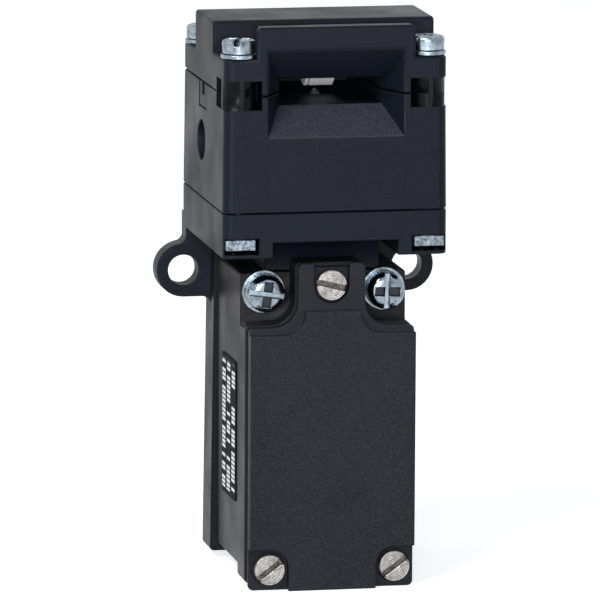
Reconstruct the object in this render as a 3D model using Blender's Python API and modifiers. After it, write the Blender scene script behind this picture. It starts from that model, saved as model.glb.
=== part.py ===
"""Solenoid interlock switch, modelled as an assembly.

Metres, +Z up, +X to the right seen from the front, the front faces -Y.
The origin is on the plunger's axis, level with the lower edge of the front cover.
Heights are stacked upwards from there and depths are counted back from the head's front face.
"""

import math

import bmesh
import bpy
from mathutils import Matrix, Vector

MM = 0.001

# Clearances
GAP = 0.3 * MM            # between pieces that seat on each other
STICKER_GAP = 0.1 * MM
OVERLAP = 0.5 * MM        # how far shapes of one moulding run into each other

# Head
HEAD_SIZE = 52.0 * MM
HEAD_CORNER = 2.2 * MM
HEAD_BODY_HEIGHT = 26.4 * MM
HEAD_DRAFT = 0.25 * MM
CAP_FRONT_LEDGE = 8.35 * MM
CAP_REAR_DROP = 2.3 * MM
CAP_BLOCK_HEIGHT = 15.45 * MM
CAP_BLOCK_DEPTH = 22.0 * MM
CAP_BLOCK_EDGE = 1.1 * MM
BEZEL_WIDTH = 36.7 * MM
BEZEL_THICKNESS = 3.5 * MM
BEZEL_HEIGHT = 15.65 * MM
BEZEL_CORNER = 1.2 * MM
HEAD_WALL = 3.2 * MM
HEAD_ROOF = 1.9 * MM
POST_WALL = 1.0 * MM
CAP_WALL = 2.7 * MM

# Actuator entry
FUNNEL_WIDTH = 31.8 * MM
FUNNEL_HEIGHT = 20.4 * MM
FUNNEL_RISE = 0.5 * MM
FUNNEL_DEPTH = 7.5 * MM
SLOT_WIDTH = 23.8 * MM
SLOT_HEIGHT = 5.9 * MM
ENTRY_WALL = 1.8 * MM
CHANNEL_BACK_WALL = 6.0 * MM

# Corner windows at the two front screws
WINDOW_SIDE = 8.8 * MM
WINDOW_DEPTH = 10.6 * MM
WINDOW_HEIGHT = 6.7 * MM
WINDOW_RISE = 0.25 * MM
POST_RADIUS = 3.9 * MM

# Head screws, washers and nuts
HEAD_SCREW_INSET = 4.1 * MM
M4_RADIUS = 2.0 * MM
PAN_RADIUS = 3.92 * MM
PAN_HEIGHT = 3.3 * MM
PAN_CROWN = 0.7 * MM
PAN_SLOT = 1.1 * MM
PAN_SLOT_DEPTH = 1.4 * MM
PAN_CROSS = 4.6 * MM
PAN_CROSS_DEPTH = 1.8 * MM
M4_WASHER_RADIUS = 4.1 * MM
M4_WASHER = 0.9 * MM
NUT_SIZE = 6.9 * MM
NUT_THICKNESS = 2.4 * MM
NUT_POCKET_WIDTH = 7.9 * MM
NUT_POCKET_HEIGHT = 3.7 * MM
NUT_FLOOR = 0.8 * MM
RIB_HEIGHT = 1.0 * MM
RIB_WIDTH = 1.3 * MM

# Side of the head
RELEASE_HOLE_RADIUS = 4.7 * MM
RELEASE_HOLE_BACK = 2.5 * MM
CLIP_WIDTH = 8.3 * MM
CLIP_HEIGHT = 5.6 * MM
CLIP_DEPTH = 1.6 * MM
CLIP_BACK = 1.2 * MM
CLIP_SLOT = 2.8 * MM
CLIP_INSET = 0.1 * MM

# Carrier
FLANGE_THICKNESS = 6.65 * MM
PAD_DROP = 3.5 * MM
PAD_CLEARANCE = 5.7 * MM
PAD_INSIDE = 14.5 * MM
NECK_HALF_WIDTH = 13.4 * MM
PLATE_THICKNESS = 9.7 * MM
PLATE_BOTTOM = 1.8 * MM
PLATE_TOP_HALF_WIDTH = 20.0 * MM
PLATE_BOTTOM_HALF_WIDTH = 20.9 * MM
PLATE_CORNER = 1.0 * MM
EAR_SPACING = 53.2 * MM
EAR_RADIUS = 6.3 * MM
EAR_HOLE_RADIUS = 3.6 * MM
EAR_THICKNESS = 5.5 * MM
EAR_LOWER_FILLET = 1.8 * MM
EAR_UPPER_FILLET = 2.1 * MM
EAR_DROP = 4.2 * MM

# Lower housing
HOUSING_WIDTH = 38.7 * MM
HOUSING_HEIGHT = 72.0 * MM
HOUSING_EDGE = 0.9 * MM
HOUSING_WALL = 2.6 * MM
RIM_BOTTOM = 0.9 * MM
RIM_FOOT = 8.5 * MM
FOOT_RECESS = 3.2 * MM
DECK_DEPTH = 6.6 * MM
CONDUIT_RADIUS = 9.25 * MM
CONDUIT_WALL = 2.2 * MM
CONDUIT_LENGTH = 7.0 * MM

# Front cover and gasket
COVER_WIDTH = 38.5 * MM
SHOULDER_HEIGHT = 60.9 * MM
COVER_TOP = 75.6 * MM
TAB_WIDTH = 15.5 * MM
TAB_CORNER = 1.2 * MM
FLARE_RADIUS = 5.6 * MM
COVER_CORNER = 1.2 * MM
COVER_DEPTH = 3.5 * MM
PANEL_SETBACK = 1.7 * MM
PANEL_STEP = 2.2 * MM
PANEL_TOP = 64.9 * MM
PANEL_MARGIN = 1.4 * MM
CORNER_RECESS_WIDTH = 9.05 * MM
CORNER_RECESS_HEIGHT = 9.7 * MM
CORNER_RECESS_RADIUS = 4.2 * MM
TAB_SLOT_WIDTH = 8.2 * MM
TAB_FLOOR = 1.2 * MM
TAB_SLOT_CORNER = 4.0 * MM
GASKET_THICKNESS = 2.3 * MM
GASKET_INSET = 1.0 * MM
GASKET_TOP = 60.0 * MM
THROAT_HALF_WIDTH = 14.8 * MM
THROAT_BOTTOM = 10.8 * MM
THROAT_TOP = 57.5 * MM

# Cover screws
CHEESE_RADIUS = 3.5 * MM
CHEESE_HEIGHT = 2.4 * MM
COVER_SCREW_X = 14.6 * MM
COVER_SCREW_Z = 5.05 * MM
TOP_SCREW_Z = 70.4 * MM
COVER_SCREW_LENGTH = 8.0 * MM
SPOT_FACE = 0.4 * MM
CHEESE_EDGE = 0.2 * MM
CHEESE_SLOT = 1.2 * MM
CHEESE_SLOT_DEPTH = 1.0 * MM

# Housing screws
HOUSING_SCREW_X = 14.0 * MM
M5_RADIUS = 2.5 * MM
M5_HEAD_RADIUS = 4.3 * MM
M5_HEAD_HEIGHT = 3.4 * MM
M5_CROWN = 0.7 * MM
M5_SLOT = 1.3 * MM
M5_SLOT_DEPTH = 1.2 * MM
M5_CROSS = 5.4 * MM
M5_CROSS_DEPTH = 1.9 * MM
M5_WASHER_RADIUS = 5.0 * MM
M5_WASHER = 1.0 * MM
SPRING_WASHER_RADIUS = 4.4 * MM
SPRING_WASHER = 1.3 * MM
HOUSING_SCREW_REACH = 5.0 * MM

# Label
LABEL_WIDTH = 17.0 * MM
LABEL_HEIGHT = 32.7 * MM
LABEL_BOTTOM = 18.0 * MM
LABEL_BACK_MARGIN = 7.4 * MM
LABEL_THICKNESS = 0.2 * MM
LABEL_CORNER = 1.0 * MM

# Drive wheel, coding disc and axle
AXLE_RISE = 6.8 * MM
AXLE_RADIUS = 1.5 * MM
AXLE_HALF_LENGTH = 10.0 * MM
WHEEL_LEFT = -1.3 * MM
WHEEL_WIDTH = 5.6 * MM
WHEEL_RADIUS = 8.0 * MM
WHEEL_BACK_RADIUS = 6.4 * MM
TOOTH_RADIUS = 7.4 * MM
NOTCH_HALF_WIDTH = 2.8 * MM
CODING_DISC_WIDTH = 0.9 * MM
WHEEL_TURN = math.radians(60.0)
TOOTH_END = math.radians(125.0)
BACK_START = math.radians(150.0)
BACK_END = math.radians(300.0)
NOSE_START = math.radians(325.0)
STROKE = 4.3 * MM
WHEEL_CLEARANCE = 0.6 * MM
WHEEL_ROOM_HALF_WIDTH = 8.2 * MM

# Push rod
ROD_RADIUS = 2.0 * MM
TIP_RADIUS = 0.4 * MM
TIP_CLEARANCE = 0.5 * MM
COLLAR_RADIUS = 5.0 * MM
COLLAR_THICKNESS = 1.4 * MM
BUSH_RADIUS = 4.0 * MM
BUSH_FLOOR = 1.0 * MM
SEAL_THICKNESS = 1.4 * MM

# Solenoid, lying across the head body
BOLT_RADIUS = 1.7 * MM
BOLT_THICKNESS = 2.2 * MM
BOLT_TRAVEL = 3.0 * MM
BOLT_LENGTH = 6.6 * MM
BOLT_CLEARANCE = 0.4 * MM
BOLT_OVER_COLLAR = 0.4 * MM
BOLT_PROUD = 0.7 * MM
ARMATURE_RADIUS = 4.1 * MM
TAIL_CLEARANCE = 1.3 * MM
YOKE_SHEET = 1.5 * MM
YOKE_DEPTH = 17.0 * MM
YOKE_TOP_ROOM = 0.9 * MM
YOKE_BEND = 1.0 * MM
YOKE_CLEARANCE = 1.5 * MM
YOKE_SCREW_SPACING = 11.0 * MM
BOBBIN_TOP_ROOM = 0.4 * MM
BOBBIN_BOTTOM_ROOM = 1.0 * MM
BOBBIN_TUBE = 0.7 * MM
BOBBIN_FLANGE = 1.0 * MM
COIL_INSET = 0.2 * MM
M3_RADIUS = 1.5 * MM
M3_HEAD_RADIUS = 2.7 * MM
M3_HEAD_HEIGHT = 1.9 * MM
M3_CROWN = 0.5 * MM
M3_SLOT = 0.8 * MM
M3_SLOT_DEPTH = 0.9 * MM
YOKE_SCREW_LENGTH = 4.5 * MM

# Contact block
BLOCK_WIDTH = 28.8 * MM
BLOCK_FRONT_ROOM = 3.1 * MM
BLOCK_TOP_ROOM = 1.8 * MM
BLOCK_HEIGHT = 33.0 * MM
BLOCK_ROOF = 3.0 * MM
BLOCK_SIDE = 1.6 * MM
POCKET_DEPTH = 23.5 * MM
CARRIAGE_SIZE = 5.8 * MM
CARRIAGE_HEIGHT = 20.0 * MM
BRIDGE_LENGTH = 15.2 * MM
BRIDGE_WIDTH = 2.6 * MM
BRIDGE_SHEET = 0.6 * MM
TERMINAL_WIDTH = 4.0 * MM
TERMINAL_DEPTH = 8.0 * MM
TERMINAL_HEIGHT = 7.4 * MM
ARM_LENGTH = 4.0 * MM
ARM_SHEET = 0.8 * MM
UPPER_ARM_DROP = 8.2 * MM
LOWER_ARM_DROP = 17.2 * MM
M25_RADIUS = 1.2 * MM
M25_HEAD_RADIUS = 1.95 * MM
M25_SLOT = 0.7 * MM
M25_SLOT_DEPTH = 0.8 * MM
TERMINAL_SCREW_LENGTH = 5.0 * MM
BLOCK_SCREW_X = 9.5 * MM
BLOCK_SCREW_RISE = 5.0 * MM
BLOCK_SCREW_FLOOR = 0.9 * MM
SPRING_WIRE = 0.3 * MM
RETURN_SPRING_RADIUS = 2.3 * MM
RETURN_SPRING_TURNS = 4
RETURN_SPRING_RISE = 2.0 * MM
LOCK_SPRING_RADIUS = 2.9 * MM
LOCK_SPRING_TURNS = 3
SPRING_SEGMENTS = 10

# Facets of round shapes
ROUND_SEGMENTS = 32
FASTENER_SEGMENTS = 24
SMALL_SEGMENTS = 16
WHEEL_SEGMENTS = 12
ARC_STEP = math.radians(18.0)
SHARP_ANGLE = math.radians(35.0)

# Depths, counted from the head's front face to the back, except for the carrier's plate,
# which is counted from the head's back face
FRONT = -HEAD_SIZE / 2.0
BACK = HEAD_SIZE / 2.0
PANEL_Y = FRONT + PANEL_SETBACK
BASE_Y = PANEL_Y + PANEL_STEP
COVER_BACK = PANEL_Y + COVER_DEPTH
GASKET_Y = COVER_BACK + GAP
RIM_Y = GASKET_Y + GASKET_THICKNESS + GAP
DECK_Y = RIM_Y + DECK_DEPTH
PLATE_Y = BACK - PLATE_THICKNESS
HOUSING_BACK = PLATE_Y - GAP
INNER_FRONT = RIM_Y + RIM_FOOT + GAP
INNER_BACK = HOUSING_BACK - HOUSING_WALL
BLOCK_FRONT = INNER_FRONT + BLOCK_FRONT_ROOM
BLOCK_BACK = INNER_BACK - GAP
NECK_Y = DECK_Y + OVERLAP + GAP
EAR_Y = BACK - EAR_THICKNESS
TAB_BACK = RIM_Y - GAP
TAB_FLOOR_Y = TAB_BACK - TAB_FLOOR

# Heights, stacked from the housing upwards
EAR_Z = HOUSING_HEIGHT - EAR_DROP
HOLLOW_TOP = EAR_Z - M5_WASHER_RADIUS
NECK_BOTTOM = HOUSING_HEIGHT + GAP
PAD_BOTTOM = HOUSING_HEIGHT + PAD_CLEARANCE
FLANGE_BOTTOM = PAD_BOTTOM + PAD_DROP
FLANGE_TOP = FLANGE_BOTTOM + FLANGE_THICKNESS
HEAD_BOTTOM = FLANGE_TOP + GAP
BODY_TOP = HEAD_BOTTOM + HEAD_BODY_HEIGHT
CAP_BOTTOM = BODY_TOP + GAP
SEAM = BODY_TOP + GAP / 2.0
FRONT_LEDGE = CAP_BOTTOM + CAP_FRONT_LEDGE
REAR_LEDGE = FRONT_LEDGE - CAP_REAR_DROP
SLOT_BOTTOM = SEAM - SLOT_HEIGHT / 2.0
SLOT_TOP = SEAM + SLOT_HEIGHT / 2.0
AXLE_Z = SEAM + AXLE_RISE
TIP_Z = AXLE_Z - WHEEL_RADIUS - TIP_CLEARANCE
HEAD_ROOF_BOTTOM = SLOT_BOTTOM - HEAD_ROOF
YOKE_TOP = HEAD_ROOF_BOTTOM - YOKE_TOP_ROOM
YOKE_SCREW_TOP = HEAD_BOTTOM + YOKE_SHEET + GAP + M3_HEAD_HEIGHT
BOBBIN_TOP = HEAD_ROOF_BOTTOM - BOBBIN_TOP_ROOM
BOBBIN_BOTTOM = YOKE_SCREW_TOP + BOBBIN_BOTTOM_ROOM
BOBBIN_RADIUS = (BOBBIN_TOP - BOBBIN_BOTTOM) / 2.0
COIL_RADIUS = BOBBIN_RADIUS - COIL_INSET
COIL_Z = BOBBIN_BOTTOM + BOBBIN_RADIUS
COLLAR_Z = COIL_Z - BOLT_THICKNESS / 2.0 - BOLT_OVER_COLLAR
NUT_Z = PAD_BOTTOM + NUT_FLOOR + RIB_HEIGHT
BLOCK_TOP = HOLLOW_TOP - BLOCK_TOP_ROOM
BLOCK_BOTTOM = BLOCK_TOP - BLOCK_HEIGHT
BLOCK_SCREW_Z = BLOCK_BOTTOM + BLOCK_SCREW_RISE
POCKET_BOTTOM = BLOCK_TOP - POCKET_DEPTH
SPRING_FLOOR = BLOCK_BOTTOM + RETURN_SPRING_RISE
CARRIAGE_TOP = BLOCK_TOP - BLOCK_ROOF
CARRIAGE_BOTTOM = CARRIAGE_TOP - CARRIAGE_HEIGHT
UPPER_ARM_Z = BLOCK_TOP - UPPER_ARM_DROP
LOWER_ARM_Z = BLOCK_TOP - LOWER_ARM_DROP

# Places across
HEAD_SCREW_XY = HEAD_SIZE / 2.0 - HEAD_SCREW_INSET
HEAD_INSIDE = HEAD_SIZE / 2.0 - HEAD_WALL
BOLT_TIP_X = -(COLLAR_RADIUS + BOLT_CLEARANCE)
ARMATURE_FACE_X = BOLT_TIP_X - BOLT_LENGTH
ARMATURE_TAIL_X = -HEAD_INSIDE + TAIL_CLEARANCE
YOKE_RIGHT_X = BOLT_TIP_X - BOLT_PROUD
YOKE_LEFT_X = -HEAD_INSIDE + YOKE_CLEARANCE
YOKE_MIDDLE_X = (YOKE_LEFT_X + YOKE_RIGHT_X) / 2.0

# Directions
RIGHT = Vector((1.0, 0.0, 0.0))
FORWARD = Vector((0.0, -1.0, 0.0))
UP = Vector((0.0, 0.0, 1.0))

# Collections
PARTS_NAME = "solenoid_interlock_switch"
TOOLS_NAME = "cutters"


# Scene and materials

def clear_scene():
    for thing in list(bpy.data.objects):
        bpy.data.objects.remove(thing, do_unlink=True)


def new_collection(name):
    collection = bpy.data.collections.new(name)
    bpy.context.scene.collection.children.link(collection)


def cutters():
    return bpy.data.collections[TOOLS_NAME]


def finish_material(name, colour, roughness, metallic):
    existing = bpy.data.materials.get(name)
    if existing:
        return existing
    material = bpy.data.materials.new(name)
    material.use_nodes = True
    shader = material.node_tree.nodes["Principled BSDF"]
    shader.inputs["Base Color"].default_value = (*colour, 1.0)
    shader.inputs["Roughness"].default_value = roughness
    shader.inputs["Metallic"].default_value = metallic
    return material


def head_plastic():
    return finish_material("head_plastic", (0.028, 0.032, 0.040), 0.42, 0.0)


def housing_plastic():
    return finish_material("housing_plastic", (0.034, 0.033, 0.034), 0.38, 0.0)


def cover_plastic():
    return finish_material("cover_plastic", (0.036, 0.036, 0.039), 0.55, 0.0)


def inner_plastic():
    return finish_material("inner_plastic", (0.55, 0.53, 0.48), 0.5, 0.0)


def seal_rubber():
    return finish_material("seal_rubber", (0.012, 0.012, 0.012), 0.8, 0.0)


def zinc_plate():
    return finish_material("zinc_plate", (0.62, 0.67, 0.70), 0.28, 1.0)


def nickel_plate():
    return finish_material("nickel_plate", (0.60, 0.56, 0.52), 0.34, 1.0)


def bright_steel():
    return finish_material("bright_steel", (0.72, 0.72, 0.72), 0.25, 1.0)


def brass():
    return finish_material("brass", (0.66, 0.47, 0.18), 0.32, 1.0)


def copper_wire():
    return finish_material("copper_wire", (0.62, 0.24, 0.10), 0.4, 1.0)


def label_film():
    return finish_material("label_film", (0.02, 0.02, 0.02), 0.35, 0.0)


# Basic shapes

def link_mesh(mesh, location=(0.0, 0.0, 0.0), rotation=None):
    thing = bpy.data.objects.new(mesh.name, mesh)
    thing.location = location
    if rotation is not None:
        thing.rotation_mode = "QUATERNION"
        thing.rotation_quaternion = rotation
    cutters().objects.link(thing)
    return thing


def block(low, high):
    """A box between two corners, with its origin at its centre."""
    low = Vector(low)
    high = Vector(high)
    shape = bmesh.new()
    bmesh.ops.create_cube(shape, size=1.0)
    bmesh.ops.scale(shape, vec=high - low, verts=shape.verts)
    mesh = bpy.data.meshes.new("block")
    shape.to_mesh(mesh)
    shape.free()
    return link_mesh(mesh, (low + high) / 2.0)


def cylinder(radius, start, end, facets=ROUND_SEGMENTS):
    """A round bar from one point to another."""
    start = Vector(start)
    end = Vector(end)
    run = end - start
    shape = bmesh.new()
    bmesh.ops.create_cone(shape, cap_ends=True, segments=facets, radius1=radius,
                          radius2=radius, depth=run.length)
    mesh = bpy.data.meshes.new("cylinder")
    shape.to_mesh(mesh)
    shape.free()
    return link_mesh(mesh, (start + end) / 2.0, UP.rotation_difference(run))


def turned(profile, base, direction, facets):
    """A turned shape: (radius, height) pairs running down the outer side."""
    mesh = bpy.data.meshes.new("turned")
    closed = profile[0][0] > 0.0
    count = len(profile)
    edges = [(i, i + 1) for i in range(count - 1)]
    if closed:
        edges.append((count - 1, 0))
    mesh.from_pydata([(radius, 0.0, height) for radius, height in profile], edges, [])
    thing = link_mesh(mesh, base, UP.rotation_difference(Vector(direction)))
    screw = thing.modifiers.new("Turn", "SCREW")
    screw.axis = "Z"
    screw.angle = math.tau
    screw.steps = facets
    screw.render_steps = facets
    screw.use_merge_vertices = True
    screw.merge_threshold = 0.00001
    screw.use_smooth_shade = False
    return thing


def rounded(corners):
    """Points of a closed outline given as (x, y, radius) corners."""
    points = []
    count = len(corners)
    for index in range(count):
        here = Vector(corners[index][:2])
        radius = corners[index][2]
        if radius <= 0.0:
            points.append(tuple(here))
            continue
        before = (Vector(corners[index - 1][:2]) - here).normalized()
        after = (Vector(corners[(index + 1) % count][:2]) - here).normalized()
        half = before.angle(after) / 2.0
        reach = radius / math.tan(half)
        centre = here + (before + after).normalized() * (radius / math.sin(half))
        first = here + before * reach - centre
        sweep = first.angle_signed(here + after * reach - centre)
        steps = max(2, round(abs(sweep) / ARC_STEP))
        for step in range(steps + 1):
            turn = Matrix.Rotation(-sweep * step / steps, 2)
            points.append(tuple(centre + turn @ first))
    return points


def centred_rectangle(width, depth, radius):
    w = width / 2.0
    d = depth / 2.0
    return rounded([(-w, -d, radius), (w, -d, radius), (w, d, radius), (-w, d, radius)])


AXIS_FRAMES = {
    "X": Matrix(((0.0, 0.0, 1.0), (1.0, 0.0, 0.0), (0.0, 1.0, 0.0))),
    "Y": Matrix(((1.0, 0.0, 0.0), (0.0, 0.0, -1.0), (0.0, 1.0, 0.0))),
    "Z": Matrix.Identity(3),
}


def prism(outline, axis, low, high):
    """A flat outline given depth between two levels of one axis.

    The outline is (y, z) for X, (x, z) for Y and (x, y) for Z.
    """
    curve = bpy.data.curves.new("outline", "CURVE")
    curve.dimensions = "2D"
    curve.fill_mode = "BOTH"
    curve.extrude = (high - low) / 2.0
    spline = curve.splines.new("POLY")
    spline.points.add(len(outline) - 1)
    for point, (u, v) in zip(spline.points, outline):
        point.co = (u, v, 0.0, 1.0)
    spline.use_cyclic_u = True
    guide = bpy.data.objects.new("outline", curve)
    middle = (low + high) / 2.0
    offset = {"X": (middle, 0.0, 0.0), "Y": (0.0, middle, 0.0), "Z": (0.0, 0.0, middle)}
    guide.matrix_world = Matrix.Translation(offset[axis]) @ AXIS_FRAMES[axis].to_4x4()
    cutters().objects.link(guide)
    return mesh_of_curve(guide)


def mesh_of_curve(guide):
    """Turn a curve object into a closed mesh object and remove the curve."""
    bpy.context.view_layer.update()
    graph = bpy.context.evaluated_depsgraph_get()
    mesh = bpy.data.meshes.new_from_object(guide.evaluated_get(graph))
    shape = bmesh.new()
    shape.from_mesh(mesh)
    bmesh.ops.remove_doubles(shape, verts=shape.verts, dist=0.000002)
    bmesh.ops.recalc_face_normals(shape, faces=shape.faces)
    shape.to_mesh(mesh)
    shape.free()
    thing = bpy.data.objects.new(guide.name, mesh)
    cutters().objects.link(thing)
    thing.matrix_world = guide.matrix_world.copy()
    bpy.data.objects.remove(guide, do_unlink=True)
    return thing


def taper_top(thing, amount, half_width):
    """Draw in the upper end of an upright prism, as a mould's draft does."""
    factor = (half_width - amount) / half_width
    for vertex in thing.data.vertices:
        if vertex.co.z > 0.0:
            vertex.co.x *= factor
            vertex.co.y *= factor


def cone_frustum(front_size, back_size, front_centre, back_centre):
    """A four-sided funnel along Y between two upright rectangles."""
    shape = bmesh.new()
    bmesh.ops.create_cube(shape, size=1.0)
    for vertex in shape.verts:
        size, centre = (front_size, front_centre) if vertex.co.y < 0.0 else (back_size, back_centre)
        vertex.co.x = centre[0] + size[0] * vertex.co.x
        vertex.co.z = centre[2] + size[1] * vertex.co.z
        vertex.co.y = centre[1]
    mesh = bpy.data.meshes.new("funnel")
    shape.to_mesh(mesh)
    shape.free()
    return link_mesh(mesh)


def coil_spring(radius, wire, turns, start, end):
    """A compression spring between two end faces, as a bent wire."""
    start = Vector(start)
    end = Vector(end)
    run = end - start
    frame = UP.rotation_difference(run).to_matrix()
    direction = run.normalized()
    length = run.length - 2.0 * wire
    count = turns * SPRING_SEGMENTS
    curve = bpy.data.curves.new("spring", "CURVE")
    curve.dimensions = "3D"
    curve.bevel_depth = wire
    curve.bevel_resolution = 1
    curve.use_fill_caps = True
    spline = curve.splines.new("POLY")
    spline.points.add(count)
    for index, point in enumerate(spline.points):
        angle = math.tau * index / SPRING_SEGMENTS
        across = frame @ Vector((radius * math.cos(angle), radius * math.sin(angle), 0.0))
        along = direction * (wire + length * index / count)
        point.co = (*(start + across + along), 1.0)
    guide = bpy.data.objects.new("spring", curve)
    cutters().objects.link(guide)
    return mesh_of_curve(guide)


# Working on shapes

def combine(part, tool, operation):
    tool.hide_render = True
    tool.display_type = "WIRE"
    boolean = part.modifiers.new(operation.title(), "BOOLEAN")
    boolean.operation = operation
    boolean.solver = "EXACT"
    boolean.object = tool
    return part


def cut(part, *tools):
    for tool in tools:
        combine(part, tool, "DIFFERENCE")
    return part


def join(part, *tools):
    for tool in tools:
        combine(part, tool, "UNION")
    return part


def as_part(thing, name, material):
    """Name a finished shape, give it its material and move it to the object's collection."""
    thing.name = name
    thing.data.name = name
    thing.data.materials.clear()
    thing.data.materials.append(material)
    cutters().objects.unlink(thing)
    bpy.data.collections[PARTS_NAME].objects.link(thing)
    thing.hide_render = False
    thing.display_type = "TEXTURED"
    if thing.data.polygons:
        thing.data.shade_smooth()
        thing.data.set_sharp_from_angle(angle=SHARP_ANGLE)
    return thing


def set_origin(thing, point):
    """Move a piece's origin to a point of its joint's axis; the shape stays."""
    point = Vector(point)
    bpy.context.view_layer.update()
    shift = thing.matrix_world.inverted() @ point
    thing.data.transform(Matrix.Translation(-shift))
    thing.location = point


# Fasteners

def washer(name, radius, bore, thickness, seat, direction, material):
    profile = [(radius, thickness), (radius, 0.0), (bore, 0.0), (bore, thickness)]
    return as_part(turned(profile, seat, direction, FASTENER_SEGMENTS), name, material)


def screw(name, seat, direction, head, shank_radius, length, material, slots, facets=FASTENER_SEGMENTS):
    """A screw with its head's underside on the seat.

    head is the head's (radius, height) profile from the top down; slots is a list of
    (width, depth, span, angle) cuts across its top.
    """
    profile = list(head) + [(shank_radius, 0.0), (shank_radius, -length), (0.0, -length)]
    thing = turned(profile, seat, direction, facets)
    top = head[0][1]
    for width, depth, span, angle in slots:
        tool = block((-span / 2.0, -width / 2.0, top - depth), (span / 2.0, width / 2.0, top + depth))
        turn = UP.rotation_difference(Vector(direction)) @ Matrix.Rotation(angle, 3, "Z").to_quaternion()
        tool.location = Vector(seat) + turn @ tool.location
        tool.rotation_mode = "QUATERNION"
        tool.rotation_quaternion = turn
        cut(thing, tool)
    return as_part(thing, name, material)


def pan_head(radius, height, crown):
    """Profile of a pan head: a flat top, a sloped shoulder and a slightly drafted side."""
    return [(0.0, height), (radius * 0.74, height), (radius * 0.94, height - crown), (radius, 0.0)]


def cheese_head(radius, height, edge):
    return [(0.0, height), (radius - edge, height), (radius, height - edge), (radius, 0.0)]


# Outlines shared by the cover, its gasket and the housing's rim

def front_outline(width, bottom, top):
    """The cover's outline in front view: a tab that flares into two shoulders."""
    half = width / 2.0
    tab = TAB_WIDTH / 2.0
    return rounded([
        (-half, bottom, COVER_CORNER),
        (half, bottom, COVER_CORNER),
        (half, SHOULDER_HEIGHT, COVER_CORNER),
        (tab, SHOULDER_HEIGHT, FLARE_RADIUS),
        (tab, top, TAB_CORNER),
        (-tab, top, TAB_CORNER),
        (-tab, SHOULDER_HEIGHT, FLARE_RADIUS),
        (-half, SHOULDER_HEIGHT, COVER_CORNER),
    ])


def step_outlines():
    """Outlines of what is cut away in front of the cover's base level.

    The first follows the tab and its flare at a margin, the others clear the lower screws.
    """
    side = COVER_WIDTH
    tab = TAB_WIDTH / 2.0 - PANEL_MARGIN
    shoulder = SHOULDER_HEIGHT - PANEL_MARGIN
    flare = min(FLARE_RADIUS, PANEL_TOP - shoulder - OVERLAP)
    above = COVER_TOP + OVERLAP
    outlines = [rounded([
        (-side, above, 0.0), (-side, shoulder, 0.0), (-tab, shoulder, flare), (-tab, PANEL_TOP, 0.0),
        (tab, PANEL_TOP, 0.0), (tab, shoulder, flare), (side, shoulder, 0.0), (side, above, 0.0)])]
    for sign in (-1, 1):
        inner = sign * (COVER_WIDTH / 2.0 - CORNER_RECESS_WIDTH)
        outer = sign * side
        outlines.append(rounded([
            (inner, -OVERLAP, 0.0), (inner, CORNER_RECESS_HEIGHT, CORNER_RECESS_RADIUS),
            (outer, CORNER_RECESS_HEIGHT, 0.0), (outer, -OVERLAP, 0.0)]))
    return outlines


# Carrier

def corner_points():
    """The four head screw axes as (x sign, y sign)."""
    return [(-1, -1), (1, -1), (1, 1), (-1, 1)]


def plate_half_width(height):
    """Half the plate's width at a height: it narrows a little upwards."""
    share = (height - PLATE_BOTTOM) / (PAD_BOTTOM - PLATE_BOTTOM)
    return PLATE_BOTTOM_HALF_WIDTH + (PLATE_TOP_HALF_WIDTH - PLATE_BOTTOM_HALF_WIDTH) * share


def ear_web(side):
    """The flat tongue that carries one fixing ear, from the plate up to the flange."""
    centre = side * EAR_SPACING / 2.0
    inside = side * PAD_INSIDE
    wall = side * min(HEAD_SIZE, EAR_SPACING) / 2.0
    low = EAR_Z - EAR_RADIUS
    root = low - 2.0 * EAR_LOWER_FILLET
    corners = [
        (inside, root, 0.0),
        (side * plate_half_width(root), root, 0.0),
        (side * plate_half_width(low), low, EAR_LOWER_FILLET),
        (centre, low, 0.0),
        (centre, EAR_Z + EAR_RADIUS, 0.0),
        (wall, EAR_Z + EAR_RADIUS, 0.0),
        (wall, FLANGE_BOTTOM, 0.0),
        (inside, FLANGE_BOTTOM, 0.0),
    ]
    return prism(rounded(corners), "Y", EAR_Y, BACK)


def ear_fillet(side):
    """The hollow fillet between the top of one ear and the side of the pad above it."""
    wall = HEAD_SIZE / 2.0
    centre = EAR_SPACING / 2.0
    across = wall + EAR_UPPER_FILLET - centre
    reach = EAR_RADIUS + EAR_UPPER_FILLET
    rise = math.sqrt(reach * reach - across * across)
    touch = centre + across * EAR_RADIUS / reach
    x = sorted((side * (wall - OVERLAP), side * touch))
    fillet = block((x[0], EAR_Y, EAR_Z), (x[1], BACK, EAR_Z + rise))
    axis = side * (wall + EAR_UPPER_FILLET)
    cut(fillet, cylinder(EAR_UPPER_FILLET, (axis, EAR_Y - OVERLAP, EAR_Z + rise),
                         (axis, BACK + OVERLAP, EAR_Z + rise)))
    return fillet


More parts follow.
